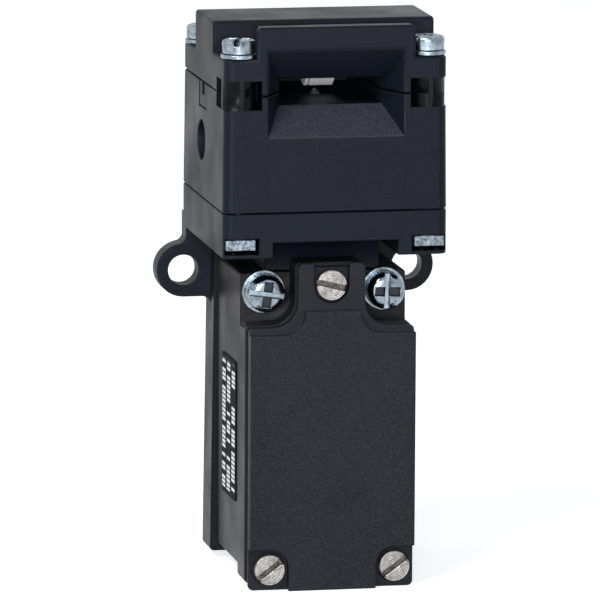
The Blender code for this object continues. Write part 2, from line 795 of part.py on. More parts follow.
def make_carrier():
    flange = prism(centred_rectangle(HEAD_SIZE, HEAD_SIZE, HEAD_CORNER), "Z", PAD_BOTTOM, FLANGE_TOP)
    cut(flange, block((-PAD_INSIDE, FRONT - OVERLAP, PAD_BOTTOM - OVERLAP),
                      (PAD_INSIDE, PLATE_Y + OVERLAP, FLANGE_BOTTOM)))
    join(flange, block((-NECK_HALF_WIDTH, NECK_Y, NECK_BOTTOM),
                       (NECK_HALF_WIDTH, PLATE_Y + OVERLAP, FLANGE_BOTTOM + OVERLAP)))
    plate = rounded([
        (-PLATE_BOTTOM_HALF_WIDTH, PLATE_BOTTOM, PLATE_CORNER),
        (PLATE_BOTTOM_HALF_WIDTH, PLATE_BOTTOM, PLATE_CORNER),
        (PLATE_TOP_HALF_WIDTH, PAD_BOTTOM + OVERLAP, 0.0),
        (-PLATE_TOP_HALF_WIDTH, PAD_BOTTOM + OVERLAP, 0.0),
    ])
    join(flange, prism(plate, "Y", PLATE_Y, BACK))
    for side in (-1, 1):
        x = side * EAR_SPACING / 2.0
        join(flange, ear_web(side), ear_fillet(side))
        join(flange, cylinder(EAR_RADIUS, (x, EAR_Y, EAR_Z), (x, BACK, EAR_Z)))
        cut(flange, cylinder(EAR_HOLE_RADIUS, (x, EAR_Y - OVERLAP, EAR_Z),
                             (x, BACK + OVERLAP, EAR_Z)))
        shank = side * HOUSING_SCREW_X
        cut(flange, cylinder(M5_RADIUS + GAP, (shank, PLATE_Y - OVERLAP, EAR_Z),
                             (shank, PLATE_Y + HOUSING_SCREW_REACH + GAP, EAR_Z), SMALL_SEGMENTS))
    for sx, sy in corner_points():
        cut_nut_pocket(flange, sx, sy)
    cut(flange, cylinder(BUSH_RADIUS + GAP, (0.0, 0.0, NECK_BOTTOM - OVERLAP),
                         (0.0, 0.0, FLANGE_TOP + OVERLAP), ROUND_SEGMENTS))
    for sy in (-1, 1):
        y = sy * YOKE_SCREW_SPACING / 2.0
        cut(flange, cylinder(M3_RADIUS + GAP, (YOKE_MIDDLE_X, y, FLANGE_TOP + OVERLAP),
                             (YOKE_MIDDLE_X, y, FLANGE_TOP - YOKE_SCREW_LENGTH), SMALL_SEGMENTS))
    return as_part(flange, "carrier_frame", head_plastic())


def cut_nut_pocket(flange, sx, sy):
    """A pocket for a square nut, open outwards, with small ribs under the nut."""
    x = sx * HEAD_SCREW_XY
    y = sy * HEAD_SCREW_XY
    outside = sy * (HEAD_SIZE / 2.0 + OVERLAP)
    inside = sy * (HEAD_SCREW_XY - NUT_SIZE / 2.0 - GAP)
    wall = x + sx * (NUT_SIZE / 2.0 + GAP)
    end = wall - sx * NUT_POCKET_WIDTH
    floor = PAD_BOTTOM + NUT_FLOOR
    low = min(outside, inside)
    high = max(outside, inside)
    cut(flange, block((min(wall, end), low, floor), (max(wall, end), high, floor + NUT_POCKET_HEIGHT)))
    for place in (-0.5, 0.5):
        centre = x + place * NUT_SIZE / 2.0
        rib = rounded([(centre - RIB_WIDTH / 2.0, floor - OVERLAP, 0.0),
                       (centre + RIB_WIDTH / 2.0, floor - OVERLAP, 0.0),
                       (centre, floor + RIB_HEIGHT - GAP, 0.0)])
        join(flange, prism(rib, "Y", low + OVERLAP * 1.5, high - OVERLAP * 1.5))
    cut(flange, cylinder(M4_RADIUS + GAP, (x, y, PAD_BOTTOM + NUT_FLOOR),
                         (x, y, FLANGE_TOP + OVERLAP), SMALL_SEGMENTS))


# Lower housing with its cover

def make_housing():
    half = HOUSING_WIDTH / 2.0
    floor = RIM_BOTTOM + FOOT_RECESS
    shell = prism(rounded([
        (-half, floor, 0.0), (half, floor, 0.0),
        (half, HOUSING_HEIGHT, HOUSING_EDGE), (-half, HOUSING_HEIGHT, HOUSING_EDGE)]),
        "Y", DECK_Y, HOUSING_BACK)
    rim = front_outline(HOUSING_WIDTH, RIM_BOTTOM, COVER_TOP - GAP)
    join(shell, prism(rim, "Y", RIM_Y, DECK_Y + OVERLAP))
    foot = rounded([(-half, RIM_BOTTOM, COVER_CORNER), (half, RIM_BOTTOM, COVER_CORNER),
                    (half, THROAT_BOTTOM, 0.0), (-half, THROAT_BOTTOM, 0.0)])
    join(shell, prism(foot, "Y", DECK_Y, RIM_Y + RIM_FOOT))
    inner = half - HOUSING_WALL
    ceiling = HOUSING_HEIGHT - HOUSING_WALL
    throat = block((-THROAT_HALF_WIDTH, RIM_Y - OVERLAP, THROAT_BOTTOM),
                   (THROAT_HALF_WIDTH, INNER_FRONT + OVERLAP, THROAT_TOP))
    chamber = block((-inner, INNER_FRONT, floor + HOUSING_WALL), (inner, INNER_BACK, HOLLOW_TOP))
    tower = HOUSING_SCREW_X - M5_WASHER_RADIUS + GAP
    upper = block((-tower, INNER_FRONT, HOLLOW_TOP - OVERLAP), (tower, INNER_BACK, ceiling))
    cut(shell, throat, chamber, upper)
    entry_y = entry_centre_y()
    join(shell, cylinder(CONDUIT_RADIUS + CONDUIT_WALL, (0.0, entry_y, floor),
                         (0.0, entry_y, floor + CONDUIT_LENGTH), ROUND_SEGMENTS))
    cut(shell, cylinder(CONDUIT_RADIUS, (0.0, entry_y, floor - OVERLAP),
                        (0.0, entry_y, floor + CONDUIT_LENGTH + OVERLAP), ROUND_SEGMENTS))
    for side in (-1, 1):
        x = side * HOUSING_SCREW_X
        cut(shell, cylinder(M5_RADIUS + GAP, (x, DECK_Y - OVERLAP, EAR_Z),
                            (x, HOUSING_BACK + OVERLAP, EAR_Z), SMALL_SEGMENTS))
        x = side * COVER_SCREW_X
        cut(shell, cylinder(M4_RADIUS + GAP, (x, RIM_Y - OVERLAP, COVER_SCREW_Z),
                            (x, BASE_Y + SPOT_FACE + COVER_SCREW_LENGTH + GAP, COVER_SCREW_Z), SMALL_SEGMENTS))
        x = side * BLOCK_SCREW_X
        cut(shell, cylinder(M3_RADIUS + GAP, (x, INNER_BACK - OVERLAP, BLOCK_SCREW_Z),
                            (x, HOUSING_BACK - BLOCK_SCREW_FLOOR, BLOCK_SCREW_Z), SMALL_SEGMENTS))
    cut(shell, cylinder(M4_RADIUS + GAP, (0.0, RIM_Y - OVERLAP, TOP_SCREW_Z),
                        (0.0, TAB_FLOOR_Y + COVER_SCREW_LENGTH + GAP, TOP_SCREW_Z), SMALL_SEGMENTS))
    cut(shell, cylinder(ROD_RADIUS + GAP, (0.0, 0.0, ceiling - OVERLAP),
                        (0.0, 0.0, HOUSING_HEIGHT + OVERLAP), SMALL_SEGMENTS))
    cut(shell, cylinder(BUSH_RADIUS + GAP, (0.0, 0.0, HOUSING_HEIGHT - SEAL_THICKNESS - GAP),
                        (0.0, 0.0, HOUSING_HEIGHT + OVERLAP), SMALL_SEGMENTS))
    return as_part(shell, "switch_housing", housing_plastic())


def entry_centre_y():
    """The conduit entry sits midway in the recessed floor behind the foot."""
    return (RIM_Y + RIM_FOOT + HOUSING_BACK) / 2.0


def make_cover():
    base = prism(front_outline(COVER_WIDTH, 0.0, COVER_TOP), "Y", PANEL_Y, COVER_BACK)
    for outline in step_outlines():
        cut(base, prism(outline, "Y", PANEL_Y - OVERLAP, BASE_Y))
    boss = TAB_WIDTH / 2.0 - PANEL_MARGIN / 2.0
    join(base, block((-boss, COVER_BACK - OVERLAP, GASKET_TOP + GAP),
                     (boss, TAB_BACK, COVER_TOP - TAB_CORNER)))
    slot = TAB_SLOT_WIDTH / 2.0
    screw_slot = rounded([
        (-slot, TOP_SCREW_Z - slot, TAB_SLOT_CORNER), (slot, TOP_SCREW_Z - slot, TAB_SLOT_CORNER),
        (slot, COVER_TOP + OVERLAP, 0.0), (-slot, COVER_TOP + OVERLAP, 0.0)])
    cut(base, prism(screw_slot, "Y", PANEL_Y - OVERLAP, TAB_FLOOR_Y))
    cut(base, cylinder(M4_RADIUS + GAP, (0.0, BASE_Y, TOP_SCREW_Z),
                       (0.0, TAB_BACK + OVERLAP, TOP_SCREW_Z), SMALL_SEGMENTS))
    for side in (-1, 1):
        x = side * COVER_SCREW_X
        cut(base, cylinder(CHEESE_RADIUS + GAP, (x, PANEL_Y, COVER_SCREW_Z),
                           (x, BASE_Y + SPOT_FACE, COVER_SCREW_Z)))
        cut(base, cylinder(M4_RADIUS + GAP, (x, PANEL_Y, COVER_SCREW_Z),
                           (x, COVER_BACK + OVERLAP, COVER_SCREW_Z), SMALL_SEGMENTS))
    return as_part(base, "housing_cover", cover_plastic())


def make_gasket():
    half = COVER_WIDTH / 2.0 - GASKET_INSET
    outer = rounded([(-half, GASKET_INSET, COVER_CORNER), (half, GASKET_INSET, COVER_CORNER),
                     (half, GASKET_TOP, COVER_CORNER), (-half, GASKET_TOP, COVER_CORNER)])
    back = GASKET_Y + GASKET_THICKNESS
    ring = prism(outer, "Y", GASKET_Y, back)
    cut(ring, block((-THROAT_HALF_WIDTH, GASKET_Y - OVERLAP, THROAT_BOTTOM),
                    (THROAT_HALF_WIDTH, back + OVERLAP, THROAT_TOP)))
    for side in (-1, 1):
        x = side * COVER_SCREW_X
        cut(ring, cylinder(M4_RADIUS + GAP, (x, GASKET_Y - OVERLAP, COVER_SCREW_Z),
                           (x, back + OVERLAP, COVER_SCREW_Z), SMALL_SEGMENTS))
    return as_part(ring, "cover_gasket", seal_rubber())


def make_cover_screws():
    head = cheese_head(CHEESE_RADIUS, CHEESE_HEIGHT, CHEESE_EDGE)
    places = [
        ("cover_screw_top", (0.0, TAB_FLOOR_Y, TOP_SCREW_Z), math.radians(-14.0)),
        ("cover_screw_left", (-COVER_SCREW_X, BASE_Y + SPOT_FACE, COVER_SCREW_Z), math.radians(37.0)),
        ("cover_screw_right", (COVER_SCREW_X, BASE_Y + SPOT_FACE, COVER_SCREW_Z), math.radians(36.0)),
    ]
    for name, seat, angle in places:
        slots = [(CHEESE_SLOT, CHEESE_SLOT_DEPTH, 3.0 * CHEESE_RADIUS, angle)]
        screw(name, seat, FORWARD, head, M4_RADIUS, COVER_SCREW_LENGTH, nickel_plate(), slots)


def make_housing_screws():
    head = pan_head(M5_HEAD_RADIUS, M5_HEAD_HEIGHT, M5_CROWN)
    flat_seat = DECK_Y - GAP / 2.0
    spring_seat = flat_seat - M5_WASHER - GAP / 2.0
    head_seat = spring_seat - SPRING_WASHER - GAP / 2.0
    length = PLATE_Y + HOUSING_SCREW_REACH - head_seat
    for name, side, angle in (("left", -1, 0.0), ("right", 1, math.pi / 2.0)):
        x = side * HOUSING_SCREW_X
        washer("flat_washer_" + name, M5_WASHER_RADIUS, M5_RADIUS + GAP, M5_WASHER,
               (x, flat_seat, EAR_Z), FORWARD, zinc_plate())
        washer("spring_washer_" + name, SPRING_WASHER_RADIUS, M5_RADIUS + GAP, SPRING_WASHER,
               (x, spring_seat, EAR_Z), FORWARD, zinc_plate())
        slots = [(M5_SLOT, M5_SLOT_DEPTH, 3.0 * M5_HEAD_RADIUS, angle),
                 (M5_SLOT, M5_CROSS_DEPTH, M5_CROSS, angle + math.pi / 2.0)]
        screw("housing_screw_" + name, (x, head_seat, EAR_Z), FORWARD, head, M5_RADIUS,
              length, zinc_plate(), slots)


def make_label():
    front = PLATE_Y - LABEL_BACK_MARGIN - LABEL_WIDTH
    outline = rounded([
        (front, LABEL_BOTTOM, LABEL_CORNER), (front + LABEL_WIDTH, LABEL_BOTTOM, LABEL_CORNER),
        (front + LABEL_WIDTH, LABEL_BOTTOM + LABEL_HEIGHT, LABEL_CORNER),
        (front, LABEL_BOTTOM + LABEL_HEIGHT, LABEL_CORNER)])
    face = -HOUSING_WIDTH / 2.0 - STICKER_GAP
    label = prism(outline, "X", face - LABEL_THICKNESS, face)
    return as_part(label, "side_label", label_film())


# Head

def window_tools(low, high):
    """Cutters for the two front corner windows, which leave a round post about each screw."""
    tools = []
    edge = HEAD_SIZE / 2.0
    for side in (-1, 1):
        x = side * HEAD_SCREW_XY
        near = side * (edge - WINDOW_SIDE)
        far = side * (edge + OVERLAP)
        window = block((min(near, far), FRONT - OVERLAP, low), (max(near, far), FRONT + WINDOW_DEPTH, high))
        cut(window, cylinder(POST_RADIUS, (x, -HEAD_SCREW_XY, low - OVERLAP),
                             (x, -HEAD_SCREW_XY, high + OVERLAP)))
        tools.append(window)
    return tools


def window_bottom():
    return SEAM + WINDOW_RISE - WINDOW_HEIGHT / 2.0


def entry_tools():
    """The funnel and the straight channel for the actuator behind it."""
    inner_y = FRONT + FUNNEL_DEPTH
    funnel = cone_frustum((FUNNEL_WIDTH, FUNNEL_HEIGHT), (SLOT_WIDTH, SLOT_HEIGHT),
                          (0.0, FRONT, SEAM + FUNNEL_RISE), (0.0, inner_y, SEAM))
    stretch_front(funnel)
    channel = block((-SLOT_WIDTH / 2.0, inner_y - OVERLAP, SLOT_BOTTOM),
                    (SLOT_WIDTH / 2.0, BACK - CHANNEL_BACK_WALL, SLOT_TOP))
    return [funnel, channel]


def stretch_front(funnel):
    """Carry the funnel's slopes a little past the front face, so that it cuts clean through."""
    share = 1.0 + OVERLAP / FUNNEL_DEPTH
    front = [v for v in funnel.data.vertices if v.co.y < FRONT + FUNNEL_DEPTH / 2.0]
    back = [v for v in funnel.data.vertices if v.co.y >= FRONT + FUNNEL_DEPTH / 2.0]
    for vertex in front:
        partner = min(back, key=lambda other: (other.co.x * vertex.co.x < 0.0,
                                               (other.co.z - SEAM) * (vertex.co.z - SEAM) < 0.0))
        vertex.co = partner.co + (vertex.co - partner.co) * share


def screw_bores(part, low, high):
    for sx, sy in corner_points():
        x = sx * HEAD_SCREW_XY
        y = sy * HEAD_SCREW_XY
        cut(part, cylinder(M4_RADIUS + GAP, (x, y, low - OVERLAP), (x, y, high + OVERLAP), SMALL_SEGMENTS))


def wheel_room():
    """The space that the drive wheel and the coding disc turn in."""
    half = WHEEL_ROOM_HALF_WIDTH
    reach = WHEEL_RADIUS + WHEEL_CLEARANCE
    ceiling = AXLE_Z + WHEEL_BACK_RADIUS + WHEEL_CLEARANCE
    return block((-half, -reach, SLOT_BOTTOM), (half, reach, ceiling))


def make_head_body():
    body = prism(centred_rectangle(HEAD_SIZE, HEAD_SIZE, HEAD_CORNER), "Z", HEAD_BOTTOM, BODY_TOP)
    taper_top(body, HEAD_DRAFT, HEAD_SIZE / 2.0)
    cross = HEAD_SCREW_XY - POST_RADIUS - POST_WALL
    front_wall = FRONT + FUNNEL_DEPTH + ENTRY_WALL
    cut(body, block((-HEAD_INSIDE, -cross, HEAD_BOTTOM - OVERLAP),
                    (HEAD_INSIDE, cross, HEAD_ROOF_BOTTOM)))
    cut(body, block((-cross, front_wall, HEAD_BOTTOM - OVERLAP),
                    (cross, HEAD_INSIDE, HEAD_ROOF_BOTTOM)))
    cut(body, *entry_tools())
    cut(body, *window_tools(window_bottom(), BODY_TOP + OVERLAP))
    screw_bores(body, HEAD_BOTTOM, BODY_TOP)
    cut(body, cylinder(ROD_RADIUS + GAP, (0.0, 0.0, HEAD_ROOF_BOTTOM - OVERLAP),
                       (0.0, 0.0, SLOT_BOTTOM + OVERLAP), SMALL_SEGMENTS))
    edge = HEAD_SIZE / 2.0
    cut(body, cylinder(RELEASE_HOLE_RADIUS, (-edge - OVERLAP, RELEASE_HOLE_BACK, COIL_Z),
                       (-HEAD_INSIDE + OVERLAP, RELEASE_HOLE_BACK, COIL_Z)))
    clip_half = CLIP_WIDTH / 2.0 + GAP
    cut(body, block((-edge - OVERLAP, CLIP_BACK - clip_half, BODY_TOP - CLIP_HEIGHT - GAP),
                    (-edge + CLIP_DEPTH + GAP, CLIP_BACK + clip_half, BODY_TOP + OVERLAP)))
    return as_part(body, "head_body", head_plastic())


def make_latch_clip():
    """The insert in the left face under the seam, with an open slot at its top."""
    edge = HEAD_SIZE / 2.0
    half = CLIP_WIDTH / 2.0
    slot = CLIP_SLOT / 2.0
    low = BODY_TOP - CLIP_HEIGHT
    outline = rounded([
        (CLIP_BACK - half, low, 0.0), (CLIP_BACK + half, low, 0.0),
        (CLIP_BACK + half, BODY_TOP, 0.0), (CLIP_BACK + slot, BODY_TOP, 0.0),
        (CLIP_BACK + slot, BODY_TOP - CLIP_SLOT, 0.0), (CLIP_BACK - slot, BODY_TOP - CLIP_SLOT, 0.0),
        (CLIP_BACK - slot, BODY_TOP, 0.0), (CLIP_BACK - half, BODY_TOP, 0.0)])
    clip = prism(outline, "X", -edge + HEAD_DRAFT + CLIP_INSET, -edge + CLIP_DEPTH)
    return as_part(clip, "latch_clip", head_plastic())


def make_head_cap():
    size = HEAD_SIZE - 2.0 * HEAD_DRAFT
    half = size / 2.0
    cap = prism(centred_rectangle(size, size, HEAD_CORNER), "Z", CAP_BOTTOM, FRONT_LEDGE)
    block_half = CAP_BLOCK_DEPTH / 2.0
    cut(cap, block((-HEAD_SIZE, block_half, REAR_LEDGE), (HEAD_SIZE, HEAD_SIZE, FRONT_LEDGE + OVERLAP)))
    block_top = CAP_BOTTOM + CAP_BLOCK_HEIGHT
    cross = rounded([(-block_half, CAP_BOTTOM + OVERLAP, 0.0), (block_half, CAP_BOTTOM + OVERLAP, 0.0),
                     (block_half, block_top, CAP_BLOCK_EDGE), (-block_half, block_top, CAP_BLOCK_EDGE)])
    join(cap, prism(cross, "X", -half, half))
    bezel_half = BEZEL_WIDTH / 2.0
    bezel_top = CAP_BOTTOM + BEZEL_HEIGHT
    bezel = rounded([(-bezel_half, CAP_BOTTOM + OVERLAP, 0.0), (bezel_half, CAP_BOTTOM + OVERLAP, 0.0),
                     (bezel_half, bezel_top, BEZEL_CORNER), (-bezel_half, bezel_top, BEZEL_CORNER)])
    join(cap, prism(bezel, "Y", -half, -half + BEZEL_THICKNESS))
    cut(cap, *entry_tools())
    cut(cap, wheel_room())
    cut(cap, *window_tools(CAP_BOTTOM - OVERLAP, window_bottom() + WINDOW_HEIGHT))
    screw_bores(cap, CAP_BOTTOM, FRONT_LEDGE)
    for side in (-1, 1):
        x = side * HEAD_SCREW_XY
        cut(cap, cylinder(M4_WASHER_RADIUS + GAP, (x, -HEAD_SCREW_XY, FRONT_LEDGE),
                          (x, -HEAD_SCREW_XY, bezel_top + OVERLAP)))
    reach = AXLE_HALF_LENGTH + GAP
    cut(cap, cylinder(AXLE_RADIUS + GAP, (-reach, 0.0, AXLE_Z), (reach, 0.0, AXLE_Z), SMALL_SEGMENTS))
    pocket_top = block_top - CAP_WALL
    for side in (-1, 1):
        near = side * (SLOT_WIDTH / 2.0 + ENTRY_WALL)
        far = side * (half - HEAD_WALL)
        cut(cap, block((min(near, far), -block_half + HEAD_WALL, CAP_BOTTOM - OVERLAP),
                       (max(near, far), block_half - HEAD_WALL, pocket_top)))
    return as_part(cap, "head_cap", head_plastic())


def make_head_fasteners():
    head = pan_head(PAN_RADIUS, PAN_HEIGHT, PAN_CROWN)
    names = ("front_left", "front_right", "rear_right", "rear_left")
    turns = (math.radians(-20.0), math.radians(25.0), math.radians(60.0), math.radians(-35.0))
    for (sx, sy), name, turn in zip(corner_points(), names, turns):
        x = sx * HEAD_SCREW_XY
        y = sy * HEAD_SCREW_XY
        ledge = FRONT_LEDGE if sy < 0 else REAR_LEDGE
        seat = ledge + GAP / 2.0
        washer("washer_" + name, M4_WASHER_RADIUS, M4_RADIUS + GAP, M4_WASHER, (x, y, seat), UP,
               zinc_plate())
        under_head = seat + M4_WASHER + GAP / 2.0
        length = under_head - NUT_Z
        slots = [(PAN_SLOT, PAN_SLOT_DEPTH, 3.0 * PAN_RADIUS, turn),
                 (PAN_SLOT, PAN_CROSS_DEPTH, PAN_CROSS, turn + math.pi / 2.0)]
        screw("head_screw_" + name, (x, y, under_head), UP, head, M4_RADIUS, length, zinc_plate(), slots)
        half = NUT_SIZE / 2.0
        nut = block((x - half, y - half, NUT_Z), (x + half, y + half, NUT_Z + NUT_THICKNESS))
        cut(nut, cylinder(M4_RADIUS + GAP, (x, y, NUT_Z - OVERLAP),
                          (x, y, NUT_Z + NUT_THICKNESS + OVERLAP), SMALL_SEGMENTS))
        as_part(nut, "square_nut_" + name, zinc_plate())


# Drive wheel, coding disc and axle

def wheel_point(angle, radius):
    """(y, z) of a point at an angle counted from straight down towards the front."""
    return (-radius * math.sin(angle), AXLE_Z - radius * math.cos(angle))


def wheel_outline():
    """The drive wheel's edge.

    From straight down to WHEEL_TURN the edge is a spiral that falls by the plunger's stroke,
    so the plunger's tip follows it at a constant clearance. A notch with a straight tooth
    flank ends it, and the rest is round.
    """
    low_radius = WHEEL_RADIUS - STROKE
    steps = WHEEL_SEGMENTS
    points = [wheel_point(WHEEL_TURN * i / steps, WHEEL_RADIUS - STROKE * i / steps)
              for i in range(steps + 1)]
    flank_angle = [math.atan2(NOTCH_HALF_WIDTH, low_radius), math.asin(NOTCH_HALF_WIDTH / TOOTH_RADIUS)]
    points.append(wheel_point(WHEEL_TURN + flank_angle[0], math.hypot(NOTCH_HALF_WIDTH, low_radius)))
    tooth_start = WHEEL_TURN + flank_angle[1]
    points += arc_points(tooth_start, TOOTH_END, TOOTH_RADIUS)
    points += arc_points(BACK_START, BACK_END, WHEEL_BACK_RADIUS)
    points += arc_points(NOSE_START, math.tau, WHEEL_RADIUS)[:-1]
    return points


def arc_points(first, last, radius):
    steps = max(2, math.ceil((last - first) / ARC_STEP))
    return [wheel_point(first + (last - first) * i / steps, radius) for i in range(steps + 1)]


def make_wheel():
    right = WHEEL_LEFT + WHEEL_WIDTH
    wheel = prism(wheel_outline(), "X", WHEEL_LEFT, right)
    cut(wheel, cylinder(AXLE_RADIUS + GAP, (WHEEL_LEFT - OVERLAP, 0.0, AXLE_Z),
                        (right + OVERLAP, 0.0, AXLE_Z), SMALL_SEGMENTS))
    as_part(wheel, "drive_wheel", bright_steel())
    set_origin(wheel, (0.0, 0.0, AXLE_Z))
    disc_right = WHEEL_LEFT - GAP
    disc_left = disc_right - CODING_DISC_WIDTH
    disc = prism(wheel_outline(), "X", disc_left, disc_right)
    cut(disc, cylinder(AXLE_RADIUS + GAP, (disc_left - OVERLAP, 0.0, AXLE_Z),
                       (disc_right + OVERLAP, 0.0, AXLE_Z), SMALL_SEGMENTS))
    as_part(disc, "coding_disc", bright_steel())
    set_origin(disc, (0.0, 0.0, AXLE_Z))
    axle = cylinder(AXLE_RADIUS, (-AXLE_HALF_LENGTH, 0.0, AXLE_Z), (AXLE_HALF_LENGTH, 0.0, AXLE_Z),
                    SMALL_SEGMENTS)
    as_part(axle, "wheel_axle", bright_steel())
    set_origin(axle, (0.0, 0.0, AXLE_Z))


# Plunger and contacts

def make_push_rod():
    bottom = CARRIAGE_TOP + GAP
    profile = [
        (0.0, TIP_Z), (TIP_RADIUS, TIP_Z), (ROD_RADIUS, TIP_Z - (ROD_RADIUS - TIP_RADIUS)),
        (ROD_RADIUS, COLLAR_Z), (COLLAR_RADIUS, COLLAR_Z),
        (COLLAR_RADIUS, COLLAR_Z - COLLAR_THICKNESS), (ROD_RADIUS, COLLAR_Z - COLLAR_THICKNESS),
        (ROD_RADIUS, bottom), (0.0, bottom)]
    rod = turned(profile, (0.0, 0.0, 0.0), UP, SMALL_SEGMENTS)
    return as_part(rod, "push_rod", bright_steel())


def make_guides():
    bottom = NECK_BOTTOM + BUSH_FLOOR
    bush = [(BUSH_RADIUS, FLANGE_TOP), (BUSH_RADIUS, bottom),
            (ROD_RADIUS + GAP, bottom), (ROD_RADIUS + GAP, FLANGE_TOP)]
    as_part(turned(bush, (0.0, 0.0, 0.0), UP, SMALL_SEGMENTS), "guide_bush", brass())
    low = HOUSING_HEIGHT - SEAL_THICKNESS
    washer("rod_seal", BUSH_RADIUS, ROD_RADIUS + GAP, SEAL_THICKNESS, (0.0, 0.0, low), UP, seal_rubber())


def bridge_tops():
    """Heights of the two moving bridges' upper faces at rest: a stroke and a gap under the arms."""
    return [UPPER_ARM_Z - GAP - STROKE, LOWER_ARM_Z - GAP - STROKE]


def make_carriage():
    half = CARRIAGE_SIZE / 2.0
    carriage = block((-half, -half, CARRIAGE_BOTTOM), (half, half, CARRIAGE_TOP))
    slot = BRIDGE_WIDTH / 2.0 + GAP
    for top, name in zip(bridge_tops(), ("upper", "lower")):
        cut(carriage, block((-half - OVERLAP, -slot, top - BRIDGE_SHEET - GAP),
                            (half + OVERLAP, slot, top + GAP)))
        reach = BRIDGE_LENGTH / 2.0
        width = BRIDGE_WIDTH / 2.0
        bridge = block((-reach, -width, top - BRIDGE_SHEET), (reach, width, top))
        as_part(bridge, "contact_bridge_" + name, brass())
    return as_part(carriage, "contact_carriage", inner_plastic())


def make_contact_block():
    half = BLOCK_WIDTH / 2.0
    front = BLOCK_FRONT
    back = BLOCK_BACK
    body = block((-half, front, BLOCK_BOTTOM), (half, back, BLOCK_TOP))
    guide = CARRIAGE_SIZE / 2.0 + GAP
    room_back = terminal_back() + GAP
    cut(body, block((-half + BLOCK_SIDE, front - OVERLAP, POCKET_BOTTOM),
                    (half - BLOCK_SIDE, room_back, BLOCK_TOP - BLOCK_ROOF)))
    cut(body, block((-guide, -guide, POCKET_BOTTOM - OVERLAP), (guide, guide, BLOCK_TOP + OVERLAP)))
    spring_room = RETURN_SPRING_RADIUS + 2.0 * SPRING_WIRE + GAP
    cut(body, cylinder(spring_room, (0.0, 0.0, SPRING_FLOOR), (0.0, 0.0, POCKET_BOTTOM + OVERLAP),
                       SMALL_SEGMENTS))
    for side in (-1, 1):
        x = side * BLOCK_SCREW_X
        cut(body, cylinder(M3_RADIUS + GAP, (x, front - OVERLAP, BLOCK_SCREW_Z),
                           (x, back + OVERLAP, BLOCK_SCREW_Z), SMALL_SEGMENTS))
        head = pan_head(M3_HEAD_RADIUS, M3_HEAD_HEIGHT, M3_CROWN)
        length = HOUSING_BACK - BLOCK_SCREW_FLOOR - GAP - front
        slots = [(M3_SLOT, M3_SLOT_DEPTH, 3.0 * M3_HEAD_RADIUS, 0.0)]
        side_name = "left" if side < 0 else "right"
        screw("block_screw_" + side_name, (x, front - GAP, BLOCK_SCREW_Z), FORWARD, head, M3_RADIUS,
              length, zinc_plate(), slots, SMALL_SEGMENTS)
    as_part(body, "contact_block", inner_plastic())
    spring = coil_spring(RETURN_SPRING_RADIUS, SPRING_WIRE, RETURN_SPRING_TURNS,
                         (0.0, 0.0, SPRING_FLOOR + GAP), (0.0, 0.0, CARRIAGE_BOTTOM - GAP))
    as_part(spring, "return_spring", bright_steel())


def terminal_back():
    return CARRIAGE_SIZE / 2.0 + GAP


def make_terminals():
    """Four fixed contacts: a clamp block with a contact arm over one end of a bridge."""
    outer = BLOCK_WIDTH / 2.0 - BLOCK_SIDE - GAP
    inner = outer - TERMINAL_WIDTH
    back = terminal_back()
    front = back - TERMINAL_DEPTH
    width = BRIDGE_WIDTH / 2.0
    head = pan_head(M25_HEAD_RADIUS, M3_HEAD_HEIGHT, M3_CROWN)
    for level, arm_z in (("upper", UPPER_ARM_Z), ("lower", LOWER_ARM_Z)):
        for side, side_name in ((-1, "left"), (1, "right")):
            name = level + "_" + side_name
            low = arm_z + ARM_SHEET - TERMINAL_HEIGHT / 2.0
            x = [side * inner, side * outer]
            clamp = block((min(x), front, low), (max(x), back, low + TERMINAL_HEIGHT))
            tip = side * (inner - ARM_LENGTH)
            root = side * (inner + OVERLAP)
            join(clamp, block((min(tip, root), -width, arm_z), (max(tip, root), width, arm_z + ARM_SHEET)))
            middle = (x[0] + x[1]) / 2.0
            centre_z = low + TERMINAL_HEIGHT / 2.0
            bore_end = front + TERMINAL_SCREW_LENGTH + GAP
            cut(clamp, cylinder(M25_RADIUS + GAP, (middle, front - OVERLAP, centre_z),
                                (middle, bore_end, centre_z), SMALL_SEGMENTS))
            as_part(clamp, "fixed_contact_" + name, brass())
            slots = [(M25_SLOT, M25_SLOT_DEPTH, 3.0 * M25_HEAD_RADIUS, math.pi / 2.0)]
            screw("terminal_screw_" + name, (middle, front - GAP, centre_z), FORWARD, head,
                  M25_RADIUS, TERMINAL_SCREW_LENGTH, nickel_plate(), slots, SMALL_SEGMENTS)


# Solenoid

